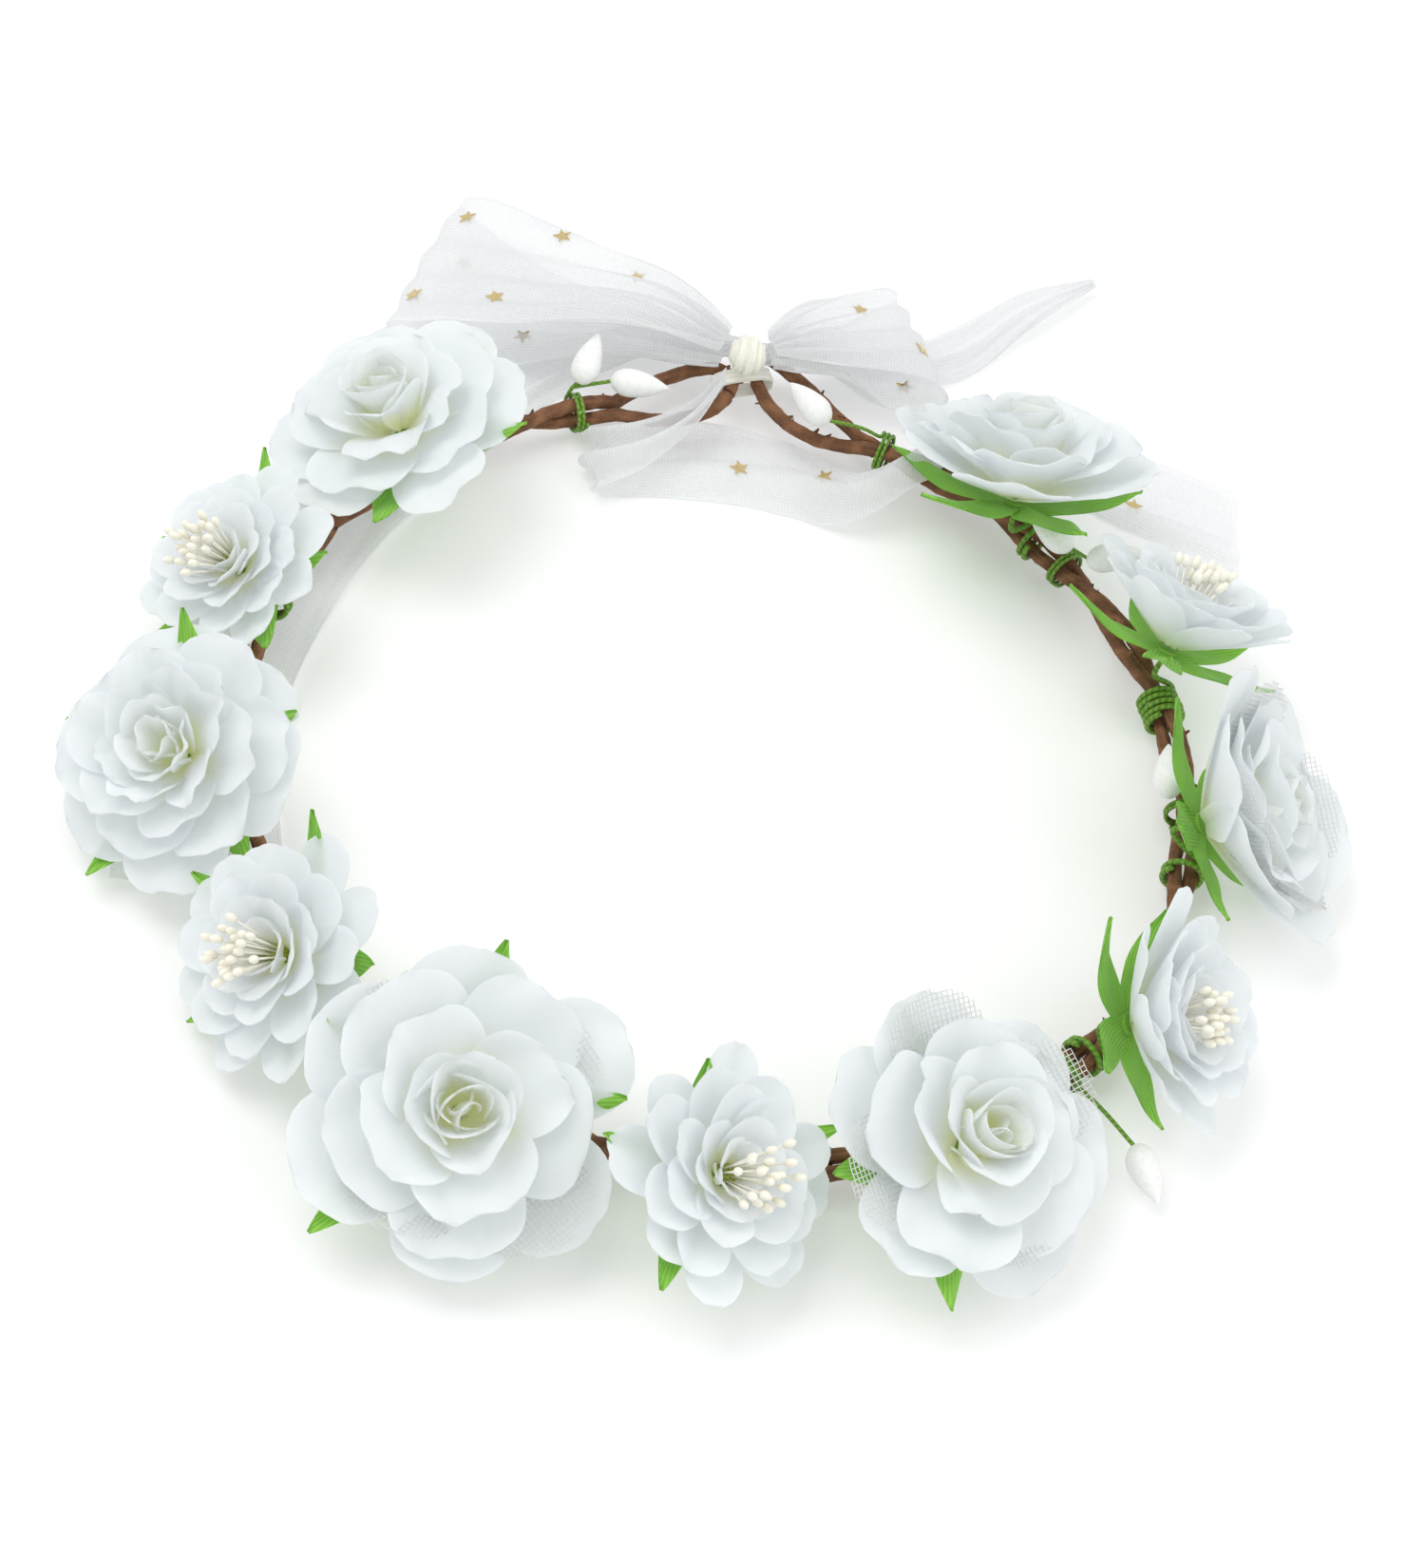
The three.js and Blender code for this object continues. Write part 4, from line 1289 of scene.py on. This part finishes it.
    def build_stamens(self) -> None:
        """Makes the stamens and the flocked plug that they stand in."""
        count = self.stamen_count
        golden = math.pi * (3 - math.sqrt(5))
        i = np.arange(count)
        r = np.sqrt((i + 0.5) / count)
        phi = golden * i + self.rng.uniform(0, 0.3, count)
        foot = np.stack([1.3 * r * np.cos(phi), 1.3 * r * np.sin(phi),
                         np.full(count, 8.0)], -1)
        lean = 0.46 * r + self.rng.uniform(-0.08, 0.08, count)
        aim = np.stack([np.sin(lean) * np.cos(phi), np.sin(lean) * np.sin(phi),
                        np.cos(lean)], -1)
        level = self.axis * (1.0, 1.0, 0.0)
        aim = unit(aim + 0.3 * (unit(level) @ self.turn))
        aim = aim * self.rng.uniform(10.5, 14.0, count)[:, None]
        stamens = marks(f"{self.name}_stamen_bunch", self.world(foot), (aim @ self.turn.T) * MM)
        StamenProgram().run(stamens, Pearl(), Tip=0.82 * MM, Filament=0.2 * MM)
        hand_over(stamens, self.name, "stamen", f"{self.name}_stamens")
        plug = Sheets()
        path = np.array([[0, 0, z] for z in np.linspace(5.5, 11.0, 9)])
        size = 1.9 * np.sqrt(np.clip(1 - np.linspace(-0.6, 1, 9) ** 4, 0.02, 1))
        tube(plug, self.world(path), size, 16)
        body = plug.build(f"{self.name}_plug", [FLOCKED_PLUG])
        hand_over(body, self.name, "stamen")

    def build_calyx(self) -> None:
        """Makes the hub and five ribbed sepals."""
        leaf = Sheets()
        rows, cols = 20, 9
        for k in range(self.sepals):
            reach = self.spread * self.sepal_reach * self.rng.uniform(0.82, 1.14)
            a = math.radians(-90 + 360 / self.sepals * k + self.rng.uniform(-5, 5))
            u = np.linspace(0, 1, rows)[:, None] * np.ones(cols)
            v = np.linspace(-1, 1, cols)[None, :]
            swell = 0.5 + 0.5 * np.sin(np.clip(u / 0.4, 0, 1) * 1.57)
            width = self.spread * self.sepal_width * swell
            width = width * np.clip((1.01 - u) / 0.56, 0, 1) ** 0.8
            r = 1.0 + (reach - 1.0) * u
            s = width * v
            sag = self.rng.uniform(-2.6, 0.4)
            z = 2.6 + 6.2 * (r / self.spread) ** 2 - 1.5 * u - 0.5 * np.abs(v) * (1 - u)
            z = z + sag * u**2 + 0.35 * np.sin(9 * u + 3 * v + k)
            leaf.slab(self.world(turned(r, s, z, a)),
                      {"along": s * MM + u * 0.002, "across": s * MM}, self.sepal_cloth)
        hub = np.array([[0, 0, z] for z in (0.6, 1.0, 1.8, 2.6, 3.2)])
        tube(leaf, self.world(hub), np.array([1.1, 1.9, 2.3, 2.4, 1.6]), 18)
        calyx = leaf.build(f"{self.name}_sepals", [LeafCloth()])
        hand_over(calyx, self.name, "leaf_fabric", f"{self.name}_calyx")

    def build_stem(self) -> None:
        """Makes the green wire: wound round the vine, then up into the flower."""
        leave = math.atan2(self.rise, self.out) - 0.7
        drift = math.degrees(1.5 / RING.radius)
        per_turn = 10
        count = round(self.coil_turns * per_turn)
        points = []
        for i in range(count, -1, -1):
            turns = i / per_turn
            size = RING.coil - 0.65 - 0.15 * math.sin(2 * turns) ** 2
            points.append(RING.beside(self.at - 1.2 - drift * turns, size,
                                      leave - TAU * turns))
        points.append(self.base - 3 * self.axis)
        points.append(self.base + 1.2 * self.axis)
        path = smooth_path(points, 5 * len(points))
        wire = Sheets()
        tube(wire, path, self.wire, 10)
        stem = wire.build(f"{self.name}_green_wire", [BindingWire()])
        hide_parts(f"{self.name}_stem")
        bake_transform(stem)


def flowers() -> list[Flower]:
    """Returns the eleven flowers in ring order from the left of the tie."""
    rose, net, peony, blossom = Kind.ROSE, Kind.NET_ROSE, Kind.PEONY, Kind.BLOSSOM
    return [
        Flower("rose_1", rose, 138, -2, 8, 185, 68, 0, 23, 101),
        Flower("blossom_1", blossom, 168, 2, 8, 202, 56, 20, 18.5, 102),
        Flower("rose_2", peony, 195, 7, 8, 232, 56, 38, 21.5, 103),
        Flower("blossom_2", blossom, 223, 4, 7, 212, 44, 10, 20, 104),
        Flower("rose_3", net, 246, 10, 8, 280, 60, 30, 25, 105),
        Flower("blossom_3", blossom, 271, 8, 8, 322, 58, 55, 19.5, 106),
        Flower("rose_4", net, 297, 6, 8, 317, 64, 5, 23.5, 107),
        Flower("blossom_4", blossom, 323, 2, 9, 347, 40, 35, 20, 108, close=22, deep=1.12),
        Flower("rose_5", net, 354, -2, 10, 358, 38, 15, 22.5, 109, sepal_reach=1.06, close=26,
               deep=1.13),
        Flower("blossom_5", blossom, 381, 0, 8, 422, 60, 50, 20, 110, coil_turns=4.75, close=22,
               deep=1.1),
        Flower("rose_6", rose, 410, -5, 8, 451, 60, 25, 25, 111, sepal_reach=1.04, close=13,
               deep=1.04),
    ]


# ---- Foam buds ----


@dataclass
class Sprig:
    """Foam buds on a thin wire that is bound round the vine.

    Attributes:
        name: the piece and its node.
        at: the angle of its binding in degrees.
        buds: each bud's seat, as an angle, out and up, and its aim.
        radius: a bud's thickest radius in millimetres.
        length: a bud's length.
        wire: the wire's radius.
        bind: how far it is bound round the vine, in eighths of a turn.
        drift: how far the binding moves along the vine in a turn.
        sink: how far it sinks below the coil of a stem.
    """

    name: str
    at: float
    buds: Sequence[tuple[tuple[float, float, float], tuple[float, float, float]]]
    radius: float = 3.2
    length: float = 12.5
    wire: float = 0.4
    bind: int = 21
    drift: float = 1.0
    sink: float = 0.65

    def build(self) -> None:
        """Makes the buds and their wires as one piece."""
        sheets = Sheets()
        tips = []
        for number, (seat, aim) in enumerate(self.buds):
            at, out, rise = seat
            base = RING.point(at, out, RING.height + rise)
            direction = unit(np.array(aim, float))
            tips.append(base + direction)
            t = np.linspace(0, 1, 26)
            profile = self.radius * (np.sin(math.pi * t**0.72) ** 0.8 * (1 - 0.18 * t))
            wobble = 1 + 0.03 * np.sin(9 * t + number)
            tube(sheets, base + direction * (t * self.length)[:, None], profile * wobble + 0.02, 20)
        first = tips[0]
        leave = math.atan2(first[2] - RING.height,
                           math.hypot(first[0], first[1]) - RING.radius) - 0.5
        drift = math.degrees(self.drift / RING.radius)
        points = [RING.beside(self.at - drift * i / 8, RING.coil - self.sink,
                              leave - math.pi * i / 4) for i in range(self.bind, -1, -1)]
        branch = points[-1] + (first - points[-1]) * 0.35 + np.array([0, 0, 0.8])
        tube(sheets, smooth_path([*points, branch, first], 110), self.wire, 8, slot=1)
        for tip in tips[1:]:
            tube(sheets, smooth_path([branch, (branch + tip) / 2, tip], 8), self.wire, 8, slot=1)
        piece = sheets.build(f"{self.name}_foam", [FOAM, BindingWire()])
        hand_over(piece, "root", "foam_bud", self.name)
        LOG.info("%s: %d buds", self.name, len(self.buds))


def sprigs() -> list[Sprig]:
    """Returns the bunches of buds."""
    return [
        Sprig("bud_sprig_1", 113, [((111.9, 1.8, 6.5), (0.2, 0.9, 0.3)),
                                   ((108, 1.6, 7), (1, 0, 0))]),
        Sprig("bud_sprig_2", 432, [((438.8, -4.3, 7), (-0.7, 0.7, 0.1))]),
        Sprig("bud_sprig_3", 403, [((401.4, -1.3, 7.5), (-0.7, 0.7, 0)),
                                   ((399.2, -0.3, 7), (0.9, 0.1, 0.3))]),
        Sprig("bud_sprig_4", 362, [((360, -5, 6.5), (0, 1, 0.1))]),
        Sprig("bud_sprig_5", 318, [((317.2, 18.4, -1), (0.3, -0.9, 0))]),
    ]


# ---- Ribbon ----


@dataclass
class Strip:
    """A length of organza along a route, gathered wherever its strip is narrow.

    Attributes:
        name: the piece.
        node: the node that it stands for.
        body: the body that it rides on.
        route: the points that it passes through.
        widths: its width as it lies, at even steps along it.
        side: its sideways direction from its own direction and its share of the length.
        arc: the cloth's width before its pleats.
        folds: the number of its pleats.
        phase: where the first pleat starts.
        sway: how far the pleats drift along it, in pleats.
        wave: the height of its long waves in millimetres.
        floor: the height that it stays above.
        rests_on: the nodes that it lies on; not used.
        stars: their places along it and across it.
        steps: the rows of its mesh, less one.
        columns: the columns of its mesh.
        ribbon_width: the width that it is cut to.
    """

    name: str
    node: str
    body: str
    route: Sequence[Sequence[float]]
    widths: Sequence[float]
    side: Callable[[Array, float], Array]
    arc: float = 38.0
    folds: float = 4.0
    phase: float = 0.0
    sway: float = 2.0
    wave: float = 1.0
    floor: float = -99.0
    rests_on: Sequence[str] = ("ribbon_knot",)
    stars: Sequence[tuple[float, float]] = ()
    steps: int = 150
    columns: int = 41
    ribbon_width: float = 40.0

    def surface(self) -> tuple[Array, Array, Array]:
        """Works out how the cloth lies.

        Returns:
            Its points and its normals, rows by columns by 3, and the length along it.
        """
        line = smooth_path(self.route, self.steps)
        tangent = unit(np.gradient(line, axis=0))
        t = np.linspace(0, 1, self.steps + 1)
        side = np.array([self.side(d, s) for d, s in zip(tangent, t)])
        normal = unit(np.cross(side, tangent))
        width = np.interp(t * (len(self.widths) - 1), np.arange(len(self.widths)), self.widths)
        ratio = np.maximum(self.arc / width, 1.02)
        deep = 1.25 * np.sqrt(ratio**2 - 1) * width / (TAU * self.folds)
        deep = np.minimum(deep, 0.1 * width + 0.7)
        v = np.linspace(-0.5, 0.5, self.columns)[None, :]
        tt = t[:, None]
        lift = deep[:, None] * np.sin(TAU * self.folds * v + self.phase + self.sway * TAU * tt
                                      + 1.2 * np.sin(3 * v + 5 * tt))
        lift = lift + self.wave * np.sin(TAU * (2.2 * tt + 0.4 * v) + self.phase) * (
            np.sin(math.pi * tt) ** 0.5)
        points = (line[:, None] + side[:, None] * (v * width[:, None])[..., None]
                  + normal[:, None] * lift[..., None])
        low = self.floor + 0.12
        under = points[..., 2] < low
        points[..., 2] = np.where(under, low + 0.06 * (low - points[..., 2]), points[..., 2])
        return points, np.broadcast_to(normal[:, None], points.shape), lengths(line)

    def build(self) -> None:
        """Makes the cloth and its stars."""
        points, normals, length = self.surface()
        v = np.linspace(-1, 1, self.columns)[None, :] * np.ones((self.steps + 1, 1))
        sheets = Sheets()
        sheets.grid(points, {
            "along": (length * MM)[:, None] * np.ones(self.columns),
            "across": v * self.ribbon_width / 2 * MM, "edge": np.abs(v),
            "tint": np.zeros(v.shape),
        })
        cloth = sheets.build(self.name, [Organza()])
        hand_over(cloth, self.body, "organza", self.node)
        goes = [self.build_stars(points, normals)] if self.stars else []
        self.ribbon_width * MM
        LOG.info("%s: %.0f mm of ribbon", self.name, length[-1])

    def build_stars(self, points: Array, normals: Array) -> Object:
        """Lays the foil stars on the cloth."""
        rows, cols = points.shape[:2]
        spots = [(round(t * (rows - 1)), round((v + 0.5) * (cols - 1))) for t, v in self.stars]
        place = np.array([points[i, j] + 0.25 * normals[i, j] for i, j in spots])
        stars = marks(f"{self.name}_stars", place, np.array([normals[i, j] for i, j in spots]))
        StarProgram().run(stars, GOLD_FOIL)
        hand_over(stars, self.body, "organza")
        return stars


@dataclass
class Bow:
    """The ribbon: tie, knot, two loops and three tails."""

    ring: Ring = RING
    tie_inset: float = 4.2
    tie_width: float = 3.6
    tie_thickness: float = 1.0
    knot_radius: float = 5.0
    fit: float = 0.3
    over_vine: float = 2.6
    over_table: float = 0.4
    knot_rows: int = 72
    knot_columns: int = 64
    tie_rows: int = 73
    tie_columns: int = 13
    tie_cloth: float = 0.35

    def __post_init__(self) -> None:
        """Works out where the tie and the knot sit between the eyes."""
        inset = 1 - self.tie_inset / self.ring.eye_length
        self.tie_left = self.ring.inside_eye(self.ring.left, inset, 0)
        self.tie_right = self.ring.inside_eye(self.ring.right, inset, 0)
        self.middle = (self.tie_left + self.tie_right) / 2
        rise = self.ring.paper + self.tie_thickness + 2 * self.fit + self.knot_radius
        self.knot = self.middle + np.array([0, 0, rise])

    def off(self, x: float, y: float, z: float) -> Array:
        """Returns a place from the knot's centre, in knot radii."""
        return self.knot + self.knot_radius * np.array([x, y, z])

    def loop_route(self, direction: float, reach: float, foot: float,
                   profile: Sequence[tuple[float, float]]) -> list[Array]:
        """Returns the route of a loop in the upright plane of one direction.

        Args:
            direction: its angle from the knot in degrees.
            reach: how far it goes in millimetres.
            foot: the height where it comes back, in knot radii.
            profile: places between, as shares of the reach and heights in millimetres.
        """
        a = math.radians(direction)
        mouth = self.knot_radius + 0.2
        steps = [(mouth, 0.44 * self.knot_radius), *((s * reach, z) for s, z in profile),
                 (mouth, foot * self.knot_radius)]
        return [self.knot + np.array([d * math.cos(a), d * math.sin(a), z]) for d, z in steps]

    def strips(self) -> list[Strip]:
        """Returns every length of ribbon."""
        at = self.ring.point
        k = self.knot[2]
        over = self.ring.height + (self.ring.twist + self.ring.paper) + self.over_vine
        flat = self.over_table

        def level(direction: float) -> Callable[[Array, float], Array]:
            """Keeps a loop's side level across its direction."""
            a = math.radians(direction)
            return lambda d, t: np.array([math.sin(a), -math.cos(a), 0.0])

        def flat_side(d: Array, t: float) -> Array:
            """Keeps the side level across the route."""
            return unit(np.cross(d, (0, 0, 1)))

        def lean(d: Array, t: float) -> Array:
            """Turns the side up in the second half."""
            side = flat_side(d, t)
            turn = 0.9 * max(0.0, 2 * t - 1)
            return side * math.cos(turn) + np.cross(d, side) * math.sin(turn)

        left = self.loop_route(163, 72, -0.44, [
            (0.31, 5), (0.61, 2), (0.92, -3), (1, -7.5), (0.92, -12), (0.64, -13), (0.36, -5)])
        right = self.loop_route(24, 41, -0.2, [
            (0.39, 4), (0.68, 2), (0.93, -3), (1, -7), (0.9, -9.5), (0.71, -9.5), (0.44, -2.5)])
        return [
            Strip("bow_left", "bow_loop_left", "bow_loop_left", left,
                  [6, 20, 32, 40, 41, 40, 32, 18, 6], level(163), phase=0.6, wave=1.4,
                  stars=[(0.16, 0.3), (0.27, 0.38), (0.4, 0.3), (0.3, -0.25), (0.44, -0.3),
                         (0.62, 0.2), (0.75, -0.2)]),
            Strip("bow_right", "bow_loop_right", "bow_loop_right", right,
                  [6, 16, 25, 31, 32, 31, 25, 15, 6], level(24), phase=2.1, wave=1.0, arc=34,
                  stars=[(0.4, 0.1), (0.27, -0.3), (0.66, 0.25)]),
            Strip("tail_short", "ribbon_tail_short", "bow_loop_right",
                  [self.off(0.6, 0.9, -0.68), at(85.3, 16.9, k - 5.6), at(80.9, 21.4, k - 9.4),
                   at(75.4, 27.3, 2.4), at(69.8, 38, 3), at(66.3, 57.6, 5), at(63.4, 77.9, 3)],
                  [5, 6, 8, 11, 11, 8, 2], lean, arc=30, folds=3, wave=0.3, floor=0,
                  ribbon_width=18),
            Strip("tail_right", "ribbon_tail_right", "root",
                  [self.off(-0.82, -0.96, -0.36), at(97.3, -5.8, over - 0.3),
                   at(104.6, -12.4, over - 2.3), at(110.7, -12.9, over - 5.3),
                   at(112.9, -12.2, 4), at(109.6, -11.3, 1.4), at(97, -10.4, 2 * flat),
                   at(82.9, -10.9, 2 * flat), at(72.1, -13.7, over - 5.8), at(65.3, -3.4, over),
                   at(61.2, 11.8, over - 7.3), at(57.1, 22.3, 1.2), at(48.3, 31.2, 2 * flat),
                   at(37.8, 43.4, flat)],
                  [5, 8, 12, 14, 15, 16, 20, 20, 13, 12, 12, 15, 22, 23],
                  lambda d, t: np.array([0.0, -1.0, 0.0]), arc=26, folds=1.6, wave=0.0, floor=0,
                  steps=260, stars=[(0.5, 0.1), (0.58, -0.2), (0.93, 0.2)],
                  rests_on=("ribbon_knot", "vine_wrap_inner"), ribbon_width=24),
            Strip("tail_left", "ribbon_tail_left", "root",
                  [self.off(-0.3, 1, -0.6), at(94.7, 18.4, k - 7.9), at(100.1, 21.8, 4.5),
                   at(107.5, 21.2, 1.2), at(119, 15.4, flat), at(131.3, 7.9, flat),
                   at(145.5, 5.1, flat), at(161.8, 3.8, flat), at(178.8, 5, flat),
                   at(192.9, 6.5, flat), at(204.3, 10, flat)],
                  [5, 7, 10, 14, 20, 24, 26, 28, 28, 30, 32], flat_side, arc=30, folds=2.5,
                  wave=0.0, floor=0, steps=240, stars=[(0.55, -0.2), (0.8, -0.3), (0.97, 0.2)],
                  ribbon_width=30),
        ]

    def build(self) -> None:
        """Makes the whole bow."""
        for strip in self.strips():
            strip.build()
        self.build_knot()
        self.build_tie()

    def build_knot(self) -> None:
        """Makes the pleated ball of the knot."""
        theta = np.linspace(0, math.pi, self.knot_rows)[:, None]
        phi = np.linspace(0, TAU, self.knot_columns, endpoint=False)[None, :]
        pleat = (0.075 * np.sin(10 * theta + 1.4 * np.sin(phi + 0.6))
                 + 0.045 * np.sin(21 * theta + 2.2 * np.sin(phi)) + 0.03 * np.sin(3 * phi))
        r = self.knot_radius * (0.86 + pleat * np.sin(theta))
        ball = np.stack([0.9 * r * np.cos(theta) * np.ones(phi.shape),
                         r * np.sin(theta) * np.cos(phi),
                         0.94 * r * np.sin(theta) * np.sin(phi)], -1) + self.knot
        sheets = Sheets()
        sheets.grid(ball, {"tint": np.full(ball.shape[:2], 1.1),
                           "along": r * theta * MM, "across": r * phi * MM}, closed=True)
        knot = sheets.build("knot_pleats", [KNOT_ORGANZA])
        hand_over(knot, "root", "organza", "ribbon_knot")
        LOG.info("knot: %d faces", len(knot.data.polygons))

    def build_tie(self) -> None:
        """Makes the gathered band that passes through both eyes."""
        span = self.tie_right - self.tie_left
        along = unit(span)
        across = unit(np.cross((0, 0, 1), along))
        reach = np.linalg.norm(span) / 2
        high = self.ring.paper + self.fit + self.tie_thickness / 2
        t = np.linspace(0, TAU, self.tie_rows)
        x = reach * np.sign(np.cos(t)) * np.abs(np.cos(t)) ** 0.55
        z = high * np.sign(np.sin(t)) * np.abs(np.sin(t)) ** 0.55
        v = np.linspace(-0.5, 0.5, self.tie_columns) * np.ones((self.tie_rows, 1))
        pleat = 0.22 * np.sin(TAU * 3 * v + 0.6 * np.sin(3 * t)[:, None])
        outward = np.stack([np.cos(t), np.sin(t)], -1)
        points = (self.middle + along * (x[:, None] + pleat * outward[:, :1])[..., None]
                  + np.array([0, 0, 1.0]) * (z[:, None] + pleat * outward[:, 1:])[..., None]
                  + across * (v * self.tie_width)[..., None])
        sheets = Sheets()
        sheets.slab(points, {"tint": np.full(points.shape[:2], 1.0),
                             "across": v * 0.02,
                             "along": (t * high * MM)[:, None] * np.ones(v.shape)},
                    self.tie_cloth)
        tie = sheets.build("tie_band", [TIE_ORGANZA])
        hand_over(tie, "root", "organza", "ribbon_tie")


# ---- Studio ----


@dataclass
class Studio:
    """Pale floor, soft light and the camera.

    Attributes:
        distance: from the ring's centre to the camera in metres.
        elevation: the camera's angle above level in degrees.
        azimuth: its angle round the crown.
        roll: its turn about its own view.
        sensor_height: the camera's sensor in millimetres.
        lens: its focal length in millimetres.
        shift_y: its upward shift as a share of the sensor.
        ambient: the strength of the white surround.
        floor_reach: half the floor's width in millimetres.
        floor_height: the floor's height in millimetres.
        lamps: each lamp's name, place and size in metres, and power in watts.
    """

    distance: float = 0.65
    elevation: float = 51.0
    azimuth: float = 7.0
    roll: float = 13.5
    sensor_height: float = 36.0
    lens: float = 77.23636
    shift_y: float = -0.0060606
    ambient: float = 0.78
    floor_reach: float = 2500.0
    floor_height: float = -0.35
    lamps: tuple = (("key", (-0.5, 0.1, 1.15), 0.8, 5.4), ("fill", (0.9, -0.3, 0.9), 1.2, 4.0))

    def build(self) -> None:
        """Makes floor, lights and camera."""
        self.build_floor()
        self.build_light()
        self.build_camera()
        bpy.context.scene.view_settings.view_transform = "Standard"

    def build_floor(self) -> None:
        """Makes a wide seamless sheet."""
        sheets = Sheets()
        edge = np.linspace(-self.floor_reach, self.floor_reach, 9)
        x, y = np.meshgrid(edge, edge)
        sheets.grid(np.stack([x, y, np.full(x.shape, self.floor_height)], -1), {})
        floor = sheets.build("studio_floor", [PALE_FLOOR])

    def build_light(self) -> None:
        """Makes the white surround and two large soft lamps."""
        world = bpy.data.worlds.new("studio")
        world.use_nodes = True
        back = world.node_tree.nodes["Background"]
        back.inputs["Color"].default_value = (0.985, 0.995, 1.0, 1.0)
        back.inputs["Strength"].default_value = self.ambient
        bpy.context.scene.world = world
        for name, place, size, power in self.lamps:
            lamp = bpy.data.lights.new(name, "AREA")
            lamp.size = size
            lamp.energy = power
            lamp.color = (1.0, 0.995, 0.98)
            made = placed(name, lamp)
            made.location = place
            made.rotation_euler = Vector(place).to_track_quat("Z", "Y").to_euler()

    def build_camera(self) -> None:
        """Makes the camera, aimed at the ring's centre and rolled."""
        e, a, roll = (math.radians(v) for v in (self.elevation, self.azimuth, self.roll))
        away = Vector((-math.sin(a) * math.cos(e), -math.cos(a) * math.cos(e), math.sin(e)))
        right = (-away).cross(Vector((0, 0, 1))).normalized()
        up = right.cross(-away)
        side = math.cos(roll) * right + math.sin(roll) * up
        top = -math.sin(roll) * right + math.cos(roll) * up
        data = bpy.data.cameras.new("camera")
        data.sensor_fit = "VERTICAL"
        data.sensor_height = self.sensor_height
        data.lens = self.lens
        data.shift_y = self.shift_y
        data.clip_start = 0.01
        camera = placed("camera", data)
        turn = Matrix((side, top, away)).transposed().to_4x4()
        camera.matrix_world = Matrix.Translation(away * self.distance) @ turn
        bpy.context.scene.camera = camera


def dress_cores(frame: dict) -> None:
    """Gives the steel wires inside the wraps their finish."""
    for name in ("wire_core_outer", "wire_core_inner"):
        materials = frame["nodes"][name].data.materials
        materials.clear()
        materials.append(DRAWN_STEEL.material())
        LOG.info("%s: drawn steel", name)


def main() -> None:
    """Builds the crown round its frame."""
    logging.basicConfig(level=logging.INFO, format="%(name)s %(message)s")
    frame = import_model()
    dress_cores(frame)
    Studio().build()
    Vine().build()
    for flower in flowers():
        flower.build()
    for sprig in sprigs():
        sprig.build()
    Bow().build()


if __name__ == "__main__":
    main()
